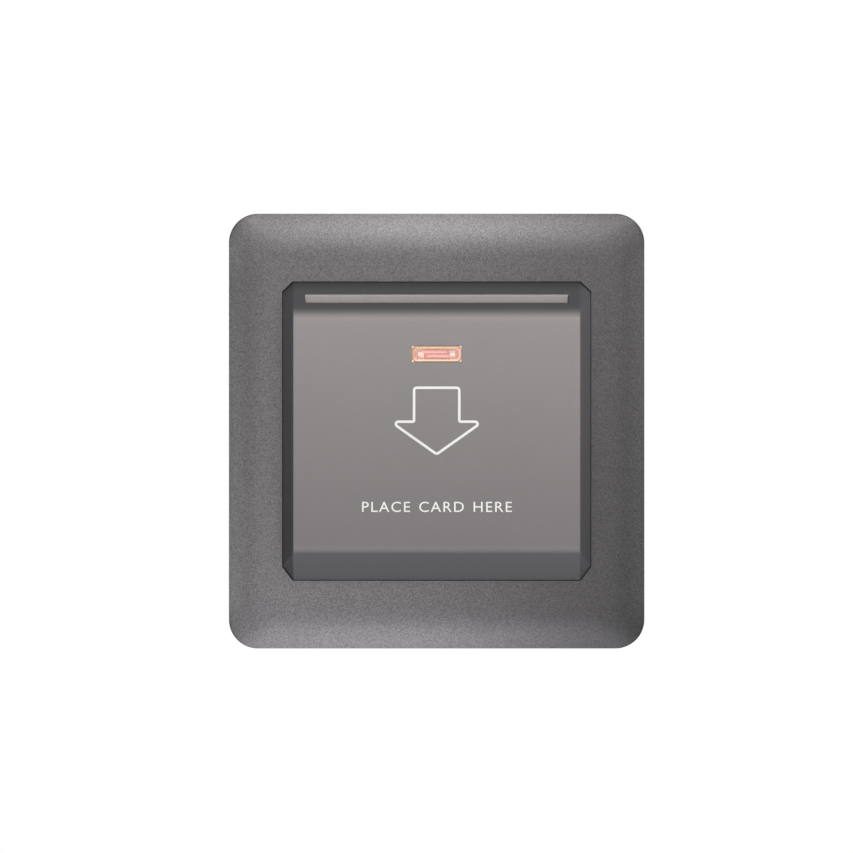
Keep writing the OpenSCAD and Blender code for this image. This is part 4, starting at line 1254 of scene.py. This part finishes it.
# Strips with the holder's painted glow, laid over the shade in the gap.
wear(prisms("lamp_seal", strips, *GLOW_STRIP_Y, "Y"), "lit_holder", "white_plastic")

# %% [markdown]
# ## Card guide and lever
# The card slides down between the cover and the guide and pushes the lever's foot back. The guide is
# black plastic, and the lever is an ivory plastic that slides well. The lever swings on a steel pin, so
# it rides on its own body. The plunger that it presses is red and rides on another.

# %% Card guide and lever
dress("card_guide", "guide_black", "black_plastic", 0.15)
dress("card_lever", "lever_ivory", "white_plastic", 0.2, "card_lever")
dress("lever_pin", "spring_steel", "steel", 0.15)
dress("switch_plunger", "plunger_red", "red_plastic", 0.15, "plunger")

# %% [markdown]
# ## Yoke and housing
# The yoke is stamped from zinc-plated sheet and screws to the wall box. The housing hangs on it, and a
# clear shield keeps fingers off the terminals. Sheet metal gets a narrow edge, moulded plastic a wider one.

# %% Yoke and housing
dress("mounting_yoke", "zinc_plate", "steel", 0.12)
dress("rear_housing", "housing_black", "black_plastic", 0.25)
dress("terminal_shield", "shield_clear", "clear_plastic", 0.12)

# %% [markdown]
# ## Switch and terminals
# The switch is a case with a lid. In it a brass blade carries a silver contact to the fixed one, and
# brass strips lead from there to the pillars that clamp the wires. The blade and its contact swing
# together, so both ride on the blade's body.

# %% Switch and terminals
for node in ("switch_case", "switch_lid"):
    dress(node, "switch_black", "black_plastic", 0.12)
dress("contact_blade", "brass_sheet", "brass", 0.06, "blade")
dress("moving_contact", "silver_contact", "bright_metal", 0.06, "blade")
dress("fixed_contact", "silver_contact", "bright_metal", 0.06)
for node in ("line_terminal", "load_terminal", "neutral_terminal"):
    dress(node, "brass_sheet", "brass", 0.06)
dress("terminal_pillars", "brass_sheet", "brass", 0.12)

# %% [markdown]
# ## Floor
# A wall switch has no floor of its own. This one is only a pale ground for views from above, far below the
# switch. To the camera it is one plain tone, and to the paint a matt sheet. It is clear from its underside,
# so that it hides nothing when the switch is looked at from below.

# %% Floor
FLOOR_LEVEL = -0.62
FLOOR_RADIUS = 1.6
FLOOR_SIDES = 72
turns = [2 * math.pi * k / FLOOR_SIDES for k in range(FLOOR_SIDES)]
edge = [(FLOOR_RADIUS * math.cos(a), FLOOR_RADIUS * math.sin(a), FLOOR_LEVEL) for a in turns]
floor = add_object("floor", bpy.data.meshes.new("floor"))
floor.data.from_pydata(edge, [], [range(FLOOR_SIDES)])
floor_finish = finishes["pale_floor"]
tree = floor_finish.node_tree
matt = tree.nodes["Principled BSDF"].outputs["BSDF"]
plain = add_step(tree, "ShaderNodeEmission", {"Color": seen(238, 238, 237)})["Emission"]
clear = add_step(tree, "ShaderNodeBsdfTransparent", {})["BSDF"]
underside = add_step(tree, "ShaderNodeNewGeometry", {})["Backfacing"]
surface = add_choice(tree, underside, add_choice(tree, camera_sight(tree), matt, plain), clear)
tree.links.new(surface, tree.nodes["Material Output"].inputs["Surface"])
floor.data.materials.append(floor_finish)
print("floor:", FLOOR_LEVEL, "m")
